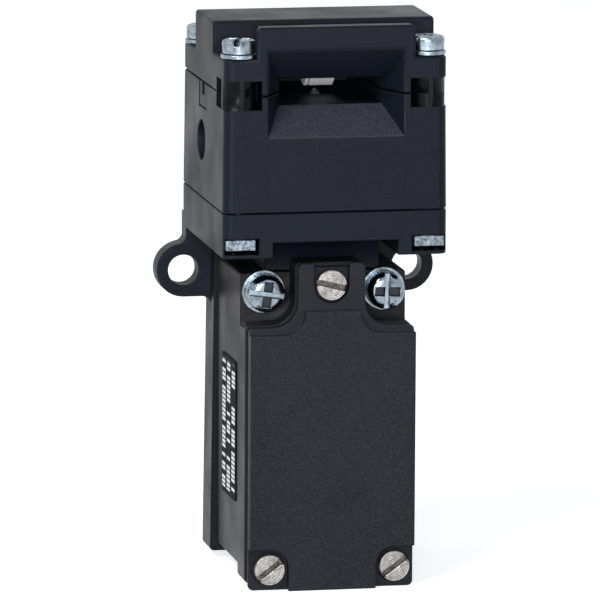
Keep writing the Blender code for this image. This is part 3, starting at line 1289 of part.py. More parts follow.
def make_solenoid():
    left = YOKE_LEFT_X
    right = YOKE_RIGHT_X
    floor = HEAD_BOTTOM
    half = YOKE_DEPTH / 2.0
    outline = rounded([
        (left, floor, YOKE_BEND), (right, floor, YOKE_BEND),
        (right, YOKE_TOP, 0.0), (right - YOKE_SHEET, YOKE_TOP, 0.0),
        (right - YOKE_SHEET, floor + YOKE_SHEET, 0.0), (left + YOKE_SHEET, floor + YOKE_SHEET, 0.0),
        (left + YOKE_SHEET, YOKE_TOP, 0.0), (left, YOKE_TOP, 0.0)])
    yoke = prism(outline, "Y", -half, half)
    cut(yoke, cylinder(BOLT_RADIUS + GAP, (right - 2.0 * YOKE_SHEET, 0.0, COIL_Z),
                       (right + OVERLAP, 0.0, COIL_Z), SMALL_SEGMENTS))
    cut(yoke, cylinder(ARMATURE_RADIUS + GAP, (left - OVERLAP, 0.0, COIL_Z),
                       (left + 2.0 * YOKE_SHEET, 0.0, COIL_Z), ROUND_SEGMENTS))
    head = pan_head(M3_HEAD_RADIUS, M3_HEAD_HEIGHT, M3_CROWN)
    for name, side in (("front", -1), ("rear", 1)):
        y = side * YOKE_SCREW_SPACING / 2.0
        cut(yoke, cylinder(M3_RADIUS + GAP, (YOKE_MIDDLE_X, y, floor - OVERLAP),
                           (YOKE_MIDDLE_X, y, floor + 2.0 * YOKE_SHEET), SMALL_SEGMENTS))
        slots = [(M3_SLOT, M3_SLOT_DEPTH, 3.0 * M3_HEAD_RADIUS, 0.0)]
        screw("yoke_screw_" + name, (YOKE_MIDDLE_X, y, floor + YOKE_SHEET + GAP), UP, head, M3_RADIUS,
              YOKE_SCREW_LENGTH + YOKE_SHEET, zinc_plate(), slots, SMALL_SEGMENTS)
    as_part(yoke, "solenoid_yoke", zinc_plate())

    start = left + YOKE_SHEET + GAP
    end = right - YOKE_SHEET - GAP
    bore = ARMATURE_RADIUS + GAP
    tube = bore + BOBBIN_TUBE
    length = end - start
    bobbin = [(BOBBIN_RADIUS, length), (BOBBIN_RADIUS, length - BOBBIN_FLANGE),
              (tube, length - BOBBIN_FLANGE), (tube, BOBBIN_FLANGE),
              (BOBBIN_RADIUS, BOBBIN_FLANGE), (BOBBIN_RADIUS, 0.0), (bore, 0.0), (bore, length)]
    as_part(turned(bobbin, (start, 0.0, COIL_Z), RIGHT, ROUND_SEGMENTS), "coil_bobbin", inner_plastic())
    coil_length = length - 2.0 * (BOBBIN_FLANGE + GAP)
    coil = [(COIL_RADIUS, coil_length), (COIL_RADIUS, 0.0), (tube + GAP, 0.0), (tube + GAP, coil_length)]
    as_part(turned(coil, (start + BOBBIN_FLANGE + GAP, 0.0, COIL_Z), RIGHT, ROUND_SEGMENTS), "coil_winding",
            copper_wire())


def make_lock_plunger():
    """Armature and locking bolt in one piece, with the bolt's end flattened."""
    tip = BOLT_TIP_X
    face = ARMATURE_FACE_X
    tail = ARMATURE_TAIL_X
    profile = [(0.0, tip - tail), (BOLT_RADIUS, tip - tail), (BOLT_RADIUS, face - tail),
               (ARMATURE_RADIUS, face - tail), (ARMATURE_RADIUS, 0.0), (0.0, 0.0)]
    plunger = turned(profile, (tail, 0.0, COIL_Z), RIGHT, SMALL_SEGMENTS)
    flat = BOLT_THICKNESS / 2.0
    for side in (-1, 1):
        near = COIL_Z + side * flat
        far = COIL_Z + side * 2.0 * BOLT_RADIUS
        cut(plunger, block((tip - BOLT_TRAVEL, -BOLT_RADIUS * 2.0, min(near, far)),
                           (tip + OVERLAP, BOLT_RADIUS * 2.0, max(near, far))))
    as_part(plunger, "lock_plunger", bright_steel())
    spring = coil_spring(LOCK_SPRING_RADIUS, SPRING_WIRE, LOCK_SPRING_TURNS,
                         (face + GAP, 0.0, COIL_Z), (YOKE_RIGHT_X - YOKE_SHEET - GAP, 0.0, COIL_Z))
    as_part(spring, "lock_spring", bright_steel())


def main():
    clear_scene()
    new_collection(PARTS_NAME)
    new_collection(TOOLS_NAME)
    make_carrier()
    make_housing()
    make_cover()
    make_gasket()
    make_cover_screws()
    make_housing_screws()
    make_label()
    make_head_body()
    make_latch_clip()
    make_head_cap()
    make_head_fasteners()
    make_wheel()
    make_push_rod()
    make_guides()
    make_contact_block()
    make_carriage()
    make_terminals()
    make_solenoid()
    make_lock_plunger()


main()
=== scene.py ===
"""Looks of the solenoid interlock switch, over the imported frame.

Metres, +Z up, the front faces -Y.
"""

import math

import bmesh
import bpy
from bpy.props import FloatProperty, FloatVectorProperty, PointerProperty
from mathutils import Matrix, Vector
from mathutils.geometry import intersect_point_line


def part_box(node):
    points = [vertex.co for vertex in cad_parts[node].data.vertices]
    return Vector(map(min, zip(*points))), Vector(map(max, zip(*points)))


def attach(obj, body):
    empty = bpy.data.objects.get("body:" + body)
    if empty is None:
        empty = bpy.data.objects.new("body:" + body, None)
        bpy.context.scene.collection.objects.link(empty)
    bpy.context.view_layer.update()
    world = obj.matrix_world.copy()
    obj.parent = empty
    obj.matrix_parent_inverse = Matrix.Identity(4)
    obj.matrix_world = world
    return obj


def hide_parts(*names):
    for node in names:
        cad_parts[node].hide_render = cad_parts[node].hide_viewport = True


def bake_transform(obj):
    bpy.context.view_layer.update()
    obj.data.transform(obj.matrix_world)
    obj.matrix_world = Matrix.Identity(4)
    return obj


bl_info = {
    "name": "Interlock Switch Looks",
    "version": (1, 0, 0),
    "blender": (4, 5, 0),
    "location": "View3D > Sidebar > Switch",
    "description": "Finishes and details for the solenoid interlock switch",
    "category": "Add Mesh",
}

MM = 0.001

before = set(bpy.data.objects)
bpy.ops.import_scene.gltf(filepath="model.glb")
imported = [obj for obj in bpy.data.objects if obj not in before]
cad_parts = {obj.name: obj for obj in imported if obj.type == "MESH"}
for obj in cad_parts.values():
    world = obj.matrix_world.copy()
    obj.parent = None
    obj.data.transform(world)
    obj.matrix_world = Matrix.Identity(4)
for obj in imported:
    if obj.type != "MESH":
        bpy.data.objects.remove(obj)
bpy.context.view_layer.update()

ROOT_BODY = "casing"
WHEEL_BODY = "wheel"
PLUNGER_BODY = "plunger"
LOCK_BODY = "lock_bolt"

# Faces that meet at more than SHARP have an edge between them. A bend of more than FOLD is
# a rounding that has folded over. Corners nearer than WELD are one corner.
SHARP = math.radians(32.0)
FOLD = math.radians(130.0)
WELD = 0.004 * MM
WEIGHT = "bevel_weight_edge"

ENTRY_HALF_WIDTH = 16.0 * MM
CORNERS = ("front_left", "front_right", "rear_right", "rear_left")

# How far the screw at each corner is turned, in degrees
CORNER_TURNS = (70.0, 25.0, 60.0, -35.0)

# Where a Mix node of colours has its two inputs and its output
COLOUR_A = 6
COLOUR_B = 7
COLOUR_OUT = 2


# Colours

def linear(code):
    """Linear colour of an sRGB hex value."""
    parts = [int(code[i:i + 2], 16) / 255.0 for i in (0, 2, 4)]
    return tuple(c / 12.92 if c <= 0.04045 else ((c + 0.055) / 1.055) ** 2.4 for c in parts)


def colour_property(name, description, code):
    return FloatVectorProperty(name=name, description=description, subtype="COLOR", size=3,
                               min=0.0, max=1.0, default=linear(code))


# Settings

class SwitchFinish(bpy.types.PropertyGroup):
    head: colour_property("Head", "Colour of the head and its carrier", "0f131b")
    housing: colour_property("Housing", "Colour of the lower housing", "18171b")
    cover: colour_property("Cover", "Colour of the front cover", "1a1b21")
    zinc: colour_property("Zinc", "Colour of the plated screws and washers", "93a0aa")
    nickel: colour_property("Nickel", "Colour of the cover screws", "a8a39f")
    steel: colour_property("Steel", "Colour of the drive wheel and the plunger", "cfd0cf")
    film: colour_property("Film", "Ground colour of the side label", "0b0b0c")
    print_colour: colour_property("Print", "Colour of the dashes on the label", "e6e7e8")


class SwitchSizes(bpy.types.PropertyGroup):
    mould_edge: FloatProperty(
        name="Mould Edge", description="Radius along the edges of the mouldings",
        default=0.24 * MM, min=0.05 * MM, max=1.0 * MM, unit="LENGTH", precision=5)
    metal_edge: FloatProperty(
        name="Metal Edge", description="Radius along the edges of screws and washers",
        default=0.12 * MM, min=0.02 * MM, max=0.5 * MM, unit="LENGTH", precision=5)
    grain: FloatProperty(
        name="Grain", description="Size of the eroded grain on the mouldings",
        default=0.26 * MM, min=0.1 * MM, max=2.0 * MM, unit="LENGTH", precision=5)
    ring_pitch: FloatProperty(
        name="Ring Pitch", description="Distance between the turning marks on the cover screws",
        default=0.55 * MM, min=0.1 * MM, max=1.0 * MM, unit="LENGTH", precision=5)


def finish():
    return bpy.context.scene.switch_finish


def sizes():
    return bpy.context.scene.switch_sizes


# Node trees

def add(tree, kind, links=None, **settings):
    """Add a node, set its settings, and link or fill its inputs."""
    node = tree.nodes.new(kind)
    for name, value in settings.items():
        setattr(node, name, value)
    for socket, source in (links or {}).items():
        target = node.inputs[socket]
        if isinstance(source, bpy.types.NodeSocket):
            tree.links.new(source, target)
        else:
            target.default_value = source
    return node


def start_material(name, colour, roughness, metallic=0.0, gloss=0.5):
    """A new material with its shader; what is the same all over goes on the shader's sockets."""
    material = bpy.data.materials.get(name)
    if material:
        bpy.data.materials.remove(material)
    material = bpy.data.materials.new(name)
    material.use_nodes = True
    tree = material.node_tree
    shader = tree.nodes["Principled BSDF"]
    shader.inputs["Base Color"].default_value = (*colour, 1.0)
    shader.inputs["Roughness"].default_value = roughness
    shader.inputs["Metallic"].default_value = metallic
    shader.inputs["Specular IOR Level"].default_value = gloss
    place = add(tree, "ShaderNodeTexCoord").outputs["Object"]
    return material, tree, shader, place


def vary_roughness(tree, shader, place, size, low, high):
    """Let the gloss change in soft patches of a given size."""
    patches = add(tree, "ShaderNodeTexNoise", {"Vector": place, "Scale": 1.0 / size, "Detail": 4.0})
    spread = add(tree, "ShaderNodeMapRange", {
        "Value": patches.outputs["Fac"], "From Min": 0.3, "From Max": 0.7,
        "To Min": low, "To Max": high})
    tree.links.new(spread.outputs["Result"], shader.inputs["Roughness"])


def vary_colour(tree, shader, place, size, dark, light):
    """Let the colour change in soft patches of a given size."""
    patches = add(tree, "ShaderNodeTexNoise", {"Vector": place, "Scale": 1.0 / size, "Detail": 5.0})
    spread = add(tree, "ShaderNodeMapRange", {
        "Value": patches.outputs["Fac"], "From Min": 0.3, "From Max": 0.7})
    mix = add(tree, "ShaderNodeMix", {"Factor": spread.outputs["Result"]}, data_type="RGBA")
    mix.inputs[COLOUR_A].default_value = (*dark, 1.0)
    mix.inputs[COLOUR_B].default_value = (*light, 1.0)
    tree.links.new(mix.outputs[COLOUR_OUT], shader.inputs["Base Color"])


def scaled(colour, factor):
    """A colour made darker or lighter, and never brighter than white."""
    return tuple(min(1.0, c * factor) for c in colour)


def times(tree, first, second):
    return add(tree, "ShaderNodeMath", {0: first, 1: second}, operation="MULTIPLY").outputs["Value"]


def band(tree, value, low, high):
    """One where a value lies between two limits, and zero elsewhere."""
    over = add(tree, "ShaderNodeMath", {0: value, 1: low}, operation="GREATER_THAN")
    under = add(tree, "ShaderNodeMath", {0: value, 1: high}, operation="LESS_THAN")
    return times(tree, over.outputs["Value"], under.outputs["Value"])


def witness_lines(tree, place):
    """The two fine lines that the mould's inserts leave below the entry, on the head's front."""
    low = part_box("head_body")[0]
    width = 0.16 * MM
    height = 16.5 * MM
    split = add(tree, "ShaderNodeSeparateXYZ", {"Vector": place})
    side = add(tree, "ShaderNodeMath", {0: split.outputs["X"]}, operation="ABSOLUTE").outputs["Value"]
    line = band(tree, side, ENTRY_HALF_WIDTH, ENTRY_HALF_WIDTH + width)
    spans = ((split.outputs["Y"], low.y - MM, low.y + 0.1 * MM),
             (split.outputs["Z"], low.z, low.z + height))
    for value, near, far in spans:
        line = times(tree, line, band(tree, value, near, far))
    return line


def moulded_plastic(name, colour, roughness, strength, gloss=0.13, lines=None):
    """Glass-filled plastic from an eroded mould: dark, with a fine even grain and a soft sheen.

    The real grain is about 0.1 mm; it is drawn coarser so that it still shows.
    """
    material, tree, shader, place = start_material(name, colour, roughness, gloss=gloss)
    vary_roughness(tree, shader, place, 14.0 * MM, roughness - 0.08, roughness + 0.1)
    grain = add(tree, "ShaderNodeTexNoise", {
        "Vector": place, "Scale": 1.0 / sizes().grain, "Detail": 2.0, "Roughness": 0.7})
    spread = add(tree, "ShaderNodeMapRange", {
        "Value": grain.outputs["Fac"], "From Min": 0.35, "From Max": 0.65})
    mix = add(tree, "ShaderNodeMix", {"Factor": spread.outputs["Result"]}, data_type="RGBA")
    mix.inputs[COLOUR_A].default_value = (*scaled(colour, 1.0 - strength), 1.0)
    mix.inputs[COLOUR_B].default_value = (*scaled(colour, 1.0 + strength), 1.0)
    if lines:
        drawn = add(tree, "ShaderNodeMix", {"Factor": lines(tree, place)}, data_type="RGBA")
        tree.links.new(mix.outputs[COLOUR_OUT], drawn.inputs[COLOUR_A])
        drawn.inputs[COLOUR_B].default_value = (*scaled(colour, 0.3), 1.0)
        mix = drawn
    tree.links.new(mix.outputs[COLOUR_OUT], shader.inputs["Base Color"])
    bump = add(tree, "ShaderNodeBump", {
        "Height": grain.outputs["Fac"], "Strength": min(1.0, strength), "Distance": 0.15 * MM})
    tree.links.new(bump.outputs["Normal"], shader.inputs["Normal"])
    return material


def polished_painted_shade_plastic():
    """The same plastic where the mould was left polished, with a faint shine; its nearly black colour is
    painted shade in the corner windows.
    """
    material, tree, shader, place = start_material(
        "polished_painted_shade_moulding", scaled(finish().head, 0.3), 0.3, gloss=0.09)
    vary_roughness(tree, shader, place, 3.0 * MM, 0.26, 0.34)
    return material


def sintered_steel():
    """Pressed and sintered steel of the drive wheel: pale grey and grainy."""
    material, tree, shader, place = start_material("sintered_steel", finish().steel, 0.5, 0.08)
    vary_roughness(tree, shader, place, 0.5 * MM, 0.42, 0.62)
    vary_colour(tree, shader, place, 0.35 * MM, scaled(finish().steel, 1.0), scaled(finish().steel, 1.6))
    grit = add(tree, "ShaderNodeTexNoise", {"Vector": place, "Scale": 1.0 / (0.25 * MM), "Detail": 3.0})
    bump = add(tree, "ShaderNodeBump", {
        "Height": grit.outputs["Fac"], "Strength": 0.5, "Distance": 0.06 * MM})
    tree.links.new(bump.outputs["Normal"], shader.inputs["Normal"])
    return material


def zinc_plated():
    """Zinc plated steel: a cool white metal, slightly mottled from the bath."""
    material, tree, shader, place = start_material("zinc_plated_steel", finish().zinc, 0.3, 1.0)
    vary_roughness(tree, shader, place, 1.6 * MM, 0.2, 0.4)
    vary_colour(tree, shader, place, 1.7 * MM, scaled(finish().zinc, 0.35), scaled(finish().zinc, 1.35))
    mottle = add(tree, "ShaderNodeTexNoise", {"Vector": place, "Scale": 1.0 / (0.7 * MM), "Detail": 3.0})
    bump = add(tree, "ShaderNodeBump", {
        "Height": mottle.outputs["Fac"], "Strength": 0.35, "Distance": 0.05 * MM})
    tree.links.new(bump.outputs["Normal"], shader.inputs["Normal"])
    return material


def smooth_zinc():
    """Zinc plate on a rolled screw head: smoother, so it mirrors the dark casing around it."""
    material, tree, shader, place = start_material("zinc_plated_smooth", finish().zinc, 0.16, 1.0)
    vary_roughness(tree, shader, place, 1.6 * MM, 0.1, 0.22)
    vary_colour(tree, shader, place, 1.7 * MM, scaled(finish().zinc, 0.5), scaled(finish().zinc, 1.2))
    return material


def rough_zinc():
    """Zinc plate on a sheared nut blank: dull and speckled."""
    material, tree, shader, place = start_material("zinc_plated_blank", finish().zinc, 0.45, 0.75)
    vary_roughness(tree, shader, place, 0.8 * MM, 0.3, 0.6)
    vary_colour(tree, shader, place, 0.8 * MM, scaled(finish().zinc, 0.1), scaled(finish().zinc, 0.95))
    pits = add(tree, "ShaderNodeTexNoise", {"Vector": place, "Scale": 1.0 / (0.35 * MM), "Detail": 4.0})
    bump = add(tree, "ShaderNodeBump", {
        "Height": pits.outputs["Fac"], "Strength": 0.9, "Distance": 0.14 * MM})
    tree.links.new(bump.outputs["Normal"], shader.inputs["Normal"])
    return material


def turned_nickel():
    """Nickel plated screw heads, faced on a lathe: warm grey with rings about the axis."""
    material, tree, shader, place = start_material("nickel_plated_steel", finish().nickel, 0.34, 1.0)
    vary_roughness(tree, shader, place, 1.4 * MM, 0.32, 0.48)
    vary_colour(tree, shader, place, 1.0 * MM, scaled(finish().nickel, 0.4), scaled(finish().nickel, 0.92))
    own = add(tree, "ShaderNodeAttribute", attribute_name="own").outputs["Vector"]
    flat = add(tree, "ShaderNodeVectorMath", {0: own, 1: (1.0, 0.0, 1.0)}, operation="MULTIPLY")
    reach = add(tree, "ShaderNodeVectorMath", {0: flat.outputs["Vector"]}, operation="LENGTH")
    turns = times(tree, reach.outputs["Value"], math.tau / sizes().ring_pitch)
    wave = add(tree, "ShaderNodeMath", {0: turns}, operation="SINE")
    bump = add(tree, "ShaderNodeBump", {
        "Height": wave.outputs["Value"], "Strength": 0.28, "Distance": 0.05 * MM})
    tree.links.new(bump.outputs["Normal"], shader.inputs["Normal"])
    return material


def slot_shade_steel():
    """Plated steel deep in a slot, with a dark brownish colour that is painted shade in the slot."""
    material, tree, shader, place = start_material("painted_shade_slot_steel", linear("57524c"), 0.55, 1.0)
    vary_colour(tree, shader, place, 0.8 * MM, linear("2b2825"), linear("6e6860"))
    return material


def oiled_steel():
    """Steel of the push rod, dark and bluish under a film of oil."""
    material, tree, shader, place = start_material("oiled_steel", scaled(finish().zinc, 0.3), 0.3, 1.0)
    vary_roughness(tree, shader, place, 1.2 * MM, 0.22, 0.38)
    return material


def cross_shade_steel():
    """Plated steel in the cross of the deck screws, with a nearly black colour that is painted shade and a
    painted reflection of the dark casing.
    """
    material, tree, shader, place = start_material("painted_shade_cross_steel", scaled(finish().zinc, 0.1), 0.3, 1.0)
    vary_roughness(tree, shader, place, 0.8 * MM, 0.2, 0.4)
    return material


def bright_steel():
    """Ground spring and tool steel: bright, with fine marks from grinding."""
    material, tree, shader, place = start_material("ground_steel", finish().steel, 0.25, 1.0)
    vary_roughness(tree, shader, place, 1.2 * MM, 0.18, 0.34)
    stretch = add(tree, "ShaderNodeMapping", {"Vector": place, "Scale": (1.0, 0.12, 1.0)})
    marks = add(tree, "ShaderNodeTexNoise", {
        "Vector": stretch.outputs["Vector"], "Scale": 1.0 / (0.25 * MM), "Detail": 2.0})
    bump = add(tree, "ShaderNodeBump", {
        "Height": marks.outputs["Fac"], "Strength": 0.25, "Distance": 0.03 * MM})
    tree.links.new(bump.outputs["Normal"], shader.inputs["Normal"])
    return material


def rolled_brass():
    """Brass strip and bar: yellow metal with faint clouds of tarnish."""
    colour = linear("c8a04f")
    material, tree, shader, place = start_material("rolled_brass", colour, 0.3, 1.0)
    vary_roughness(tree, shader, place, 2.0 * MM, 0.24, 0.42)
    vary_colour(tree, shader, place, 3.0 * MM, scaled(colour, 0.8), scaled(colour, 1.05))
    return material


def copper_winding():
    """Enamelled copper wire in close turns along X."""
    colour = linear("b5693a")
    material, tree, shader, place = start_material("enamelled_copper", colour, 0.32, 0.9)
    vary_colour(tree, shader, place, 1.5 * MM, scaled(colour, 0.75), scaled(colour, 1.1))
    turns = add(tree, "ShaderNodeTexWave", {"Vector": place, "Scale": 1.0 / (0.45 * MM * 6.4)},
                wave_type="BANDS", bands_direction="X")
    bump = add(tree, "ShaderNodeBump", {
        "Height": turns.outputs["Fac"], "Strength": 0.8, "Distance": 0.1 * MM})
    tree.links.new(bump.outputs["Normal"], shader.inputs["Normal"])
    return material


def seal_rubber():
    """Nitrile rubber: matt black with a faint bloom."""
    colour = linear("1b1b1c")
    material, tree, shader, place = start_material("nitrile_rubber", colour, 0.72)
    vary_colour(tree, shader, place, 2.0 * MM, scaled(colour, 0.8), scaled(colour, 1.5))
    return material


def inner_plastic():
    """Melamine of the contact parts: warm white, smooth."""
    colour = linear("c9c4b6")
    material, tree, shader, place = start_material("melamine", colour, 0.42)
    vary_colour(tree, shader, place, 4.0 * MM, scaled(colour, 0.92), scaled(colour, 1.04))
    return material


def steps_of(tree, value):
    """The whole part of a value, and the rest."""
    whole = add(tree, "ShaderNodeMath", {0: value}, operation="FLOOR").outputs["Value"]
    return whole, add(tree, "ShaderNodeMath", {0: value}, operation="FRACT").outputs["Value"]


def label_film():
    """Printed polyester film: black, with three rows of plain dashes and no lettering."""
    material, tree, shader, place = start_material("printed_film", finish().film, 0.7, gloss=0.05)
    low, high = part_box("side_label")
    rows = 3.0
    margin = 1.2 * MM
    dash = 1.05 * MM
    missing_share = 0.24
    seed_step = 37.3
    split = add(tree, "ShaderNodeSeparateXYZ", {"Vector": place})
    across = add(tree, "ShaderNodeMapRange", {
        "Value": split.outputs["Y"], "From Min": low.y, "From Max": high.y, "To Max": rows},
        clamp=False)
    row, row_rest = steps_of(tree, across.outputs["Result"])
    along = add(tree, "ShaderNodeMath", {0: split.outputs["Z"], 1: dash}, operation="DIVIDE")
    cell, cell_rest = steps_of(tree, along.outputs["Value"])
    seed = add(tree, "ShaderNodeMath", {0: cell, 1: times(tree, row, seed_step)}, operation="ADD")
    chance = add(tree, "ShaderNodeTexWhiteNoise", {"W": seed.outputs["Value"]}, noise_dimensions="1D")
    printed = band(tree, chance.outputs["Value"], missing_share, 2.0)
    printed = times(tree, printed, band(tree, row_rest, 0.16, 0.84))
    printed = times(tree, printed, band(tree, cell_rest, 0.1, 0.82))
    printed = times(tree, printed, band(tree, split.outputs["Z"], low.z + margin, high.z - margin))
    mix = add(tree, "ShaderNodeMix", {"Factor": printed}, data_type="RGBA")
    mix.inputs[COLOUR_A].default_value = (*finish().film, 1.0)
    mix.inputs[COLOUR_B].default_value = (*finish().print_colour, 1.0)
    tree.links.new(mix.outputs[COLOUR_OUT], shader.inputs["Base Color"])
    return material


def material_named(name, make):
    return bpy.data.materials.get(name) or make()


def head_material():
    return material_named("head_moulding", lambda: moulded_plastic(
        "head_moulding", finish().head, 0.40, 0.45, gloss=0.095, lines=witness_lines))


def housing_material():
    return material_named(
        "housing_moulding", lambda: moulded_plastic("housing_moulding", finish().housing, 0.44, 0.3))


def coarse_painted_light_material():
    """The head's plastic in the entry's lower wall, where the mould was eroded more coarsely; its colour,
    the cover's made 2.2 times lighter, is painted light on this upward facing wall.
    """
    return material_named("coarse_painted_light_moulding", lambda: moulded_plastic(
        "coarse_painted_light_moulding", scaled(finish().cover, 2.2), 0.5, 0.75))


def cover_material():
    return material_named(
        "cover_moulding", lambda: moulded_plastic("cover_moulding", finish().cover, 0.50, 0.8))


# Meshes

def new_piece(name, mesh, material=None):
    thing = bpy.data.objects.new(name, mesh)
    bpy.context.scene.collection.objects.link(thing)
    if material:
        mesh.materials.clear()
        mesh.materials.append(material)
    return thing


def remove_piece(thing):
    mesh = thing.data
    bpy.data.objects.remove(thing)
    bpy.data.meshes.remove(mesh)


def bake_modifiers(thing):
    """Turn an object's evaluated shape into its own plain mesh and drop its modifiers."""
    bpy.context.view_layer.update()
    graph = bpy.context.evaluated_depsgraph_get()
    mesh = bpy.data.meshes.new_from_object(thing.evaluated_get(graph))
    thing.modifiers.clear()
    old = thing.data
    thing.data = mesh
    bpy.data.meshes.remove(old)


def fold_places(thing):
    """Where the evaluated shape folds back on itself."""
    bpy.context.view_layer.update()
    mesh = bpy.data.meshes.new_from_object(thing.evaluated_get(bpy.context.evaluated_depsgraph_get()))
    shape = bmesh.new()
    shape.from_mesh(mesh)
    places = [(edge.verts[0].co + edge.verts[1].co) / 2.0 for edge in shape.edges
              if edge.is_manifold and edge.calc_face_angle(0.0) > FOLD]
    shape.free()
    bpy.data.meshes.remove(mesh)
    return places


def distance_to_edge(mesh, edge, place):
    first, second = (mesh.vertices[i].co for i in edge.vertices)
    share = intersect_point_line(place, first, second)[1]
    return (first.lerp(second, min(1.0, max(0.0, share))) - place).length


def mark_convex_edges(mesh, plain=None):
    """Mark the outer edges for rounding, except those whose middle passes a test."""
    shape = bmesh.new()
    shape.from_mesh(mesh)
    layer = shape.edges.layers.float.new(WEIGHT)
    for edge in shape.edges:
        if edge.is_convex and edge.calc_face_angle(0.0) > SHARP:
            if plain is None or not plain((edge.verts[0].co + edge.verts[1].co) / 2.0):
                edge[layer] = 1.0
    shape.to_mesh(mesh)
    shape.free()


def soften_edges(thing, radius, segments=3, rounds=4, plain=None):
    """Round the outer edges, and leave an edge sharp where the rounding would fold over.

    Each round looks for folds and takes the edges near them out of the rounding.
    """
    mesh = thing.data
    mark_convex_edges(mesh, plain)
    bevel = thing.modifiers.new("Edges", "BEVEL")
    bevel.width = radius
    bevel.segments = segments
    bevel.limit_method = "WEIGHT"
    bevel.use_clamp_overlap = False
    bevel.miter_outer = "MITER_ARC"
    for attempt in range(rounds):
        places = fold_places(thing)
        if not places:
            break
        reach = radius * (1.2 + 0.6 * attempt)
        weights = mesh.attributes[WEIGHT].data
        for edge in mesh.edges:
            if weights[edge.index].value > 0.0:
                if any(distance_to_edge(mesh, edge, place) < reach for place in places):
                    weights[edge.index].value = 0.0
        mesh.update()
    normals = thing.modifiers.new("Flat Faces", "WEIGHTED_NORMAL")
    normals.mode = "FACE_AREA"
    normals.weight = 90
    normals.keep_sharp = True


def merged_copy(node):
    """A copy of a CAD node's mesh with its doubles merged and its flat faces made whole."""
    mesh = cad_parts[node].data.copy()
    shape = bmesh.new()
    shape.from_mesh(mesh)
    bmesh.ops.remove_doubles(shape, verts=shape.verts, dist=WELD)
    bmesh.ops.dissolve_limit(shape, angle_limit=math.radians(0.2), verts=shape.verts, edges=shape.edges)
    for face in shape.faces:
        face.smooth = True
    shape.to_mesh(mesh)
    shape.free()
    return mesh


def paint_faces(thing, material, inside):
    """Give the faces that pass a test another material."""
    thing.data.materials.append(material)
    for face in thing.data.polygons:
        if inside(face):
            face.material_index = len(thing.data.materials) - 1


def dress(node, material, edge, body=ROOT_BODY, segments=3, plain=None):
    """Show a CAD node as a copy with softened edges and its own finish.

    The edges whose middle passes the plain test stay sharp.
    """
    thing = new_piece("dressed_" + node, merged_copy(node), material)
    thing.data.set_sharp_from_angle(angle=SHARP)
    soften_edges(thing, edge, segments, plain=plain)
    bake_modifiers(thing)
    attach(thing, body)
    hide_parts(node)
    return thing


def dress_spring(node, material):
    """Show a coil spring as a fixed copy in place of its CAD node."""
    thing = new_piece("dressed_" + node, merged_copy(node), material)
    thing.data.set_sharp_from_angle(angle=SHARP)
    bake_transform(thing)
    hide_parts(node)


def turned_mesh(name, profile, steps):
    """A turned shape about +Z from (radius, height) pairs, closed at the axis or as a ring."""
    shape = bmesh.new()
    rings = []
    for radius, height in profile:
        if not radius:
            rings.append([shape.verts.new((0.0, 0.0, height))])
            continue
        rings.append([shape.verts.new((radius * math.cos(math.tau * i / steps),
                                       radius * math.sin(math.tau * i / steps), height))
                      for i in range(steps)])
    pairs = list(zip(rings, rings[1:]))
    if len(rings[0]) > 1 and len(rings[-1]) > 1:
        pairs.append((rings[-1], rings[0]))
    for first, second in pairs:
        for i in range(steps):
            j = (i + 1) % steps
            corners = [first[i % len(first)], first[j % len(first)], second[j % len(second)],
                       second[i % len(second)]]
            unique = list(dict.fromkeys(corners))
            if len(unique) > 2:
                shape.faces.new(unique)
    bmesh.ops.recalc_face_normals(shape, faces=shape.faces)
    for face in shape.faces:
        face.smooth = True
    mesh = bpy.data.meshes.new(name)
    shape.to_mesh(mesh)
    shape.free()
    return mesh


def box_mesh(name, low, high):
    """A box between two opposite corners."""
    low = Vector(low)
    high = Vector(high)
    shape = bmesh.new()
    bmesh.ops.create_cube(shape, size=1.0)
    bmesh.ops.scale(shape, vec=high - low, verts=shape.verts)
    bmesh.ops.translate(shape, vec=(low + high) / 2.0, verts=shape.verts)
    mesh = bpy.data.meshes.new(name)
    shape.to_mesh(mesh)
    shape.free()
    return mesh


def carve(thing, tools):
    """Cut boxes or other meshes out of a piece."""
    for tool in tools:
        boolean = thing.modifiers.new("Cut", "BOOLEAN")
        boolean.operation = "DIFFERENCE"
        boolean.solver = "EXACT"
        boolean.object = tool
    bake_modifiers(thing)
    for tool in tools:
        remove_piece(tool)


# Fasteners by Geometry Nodes

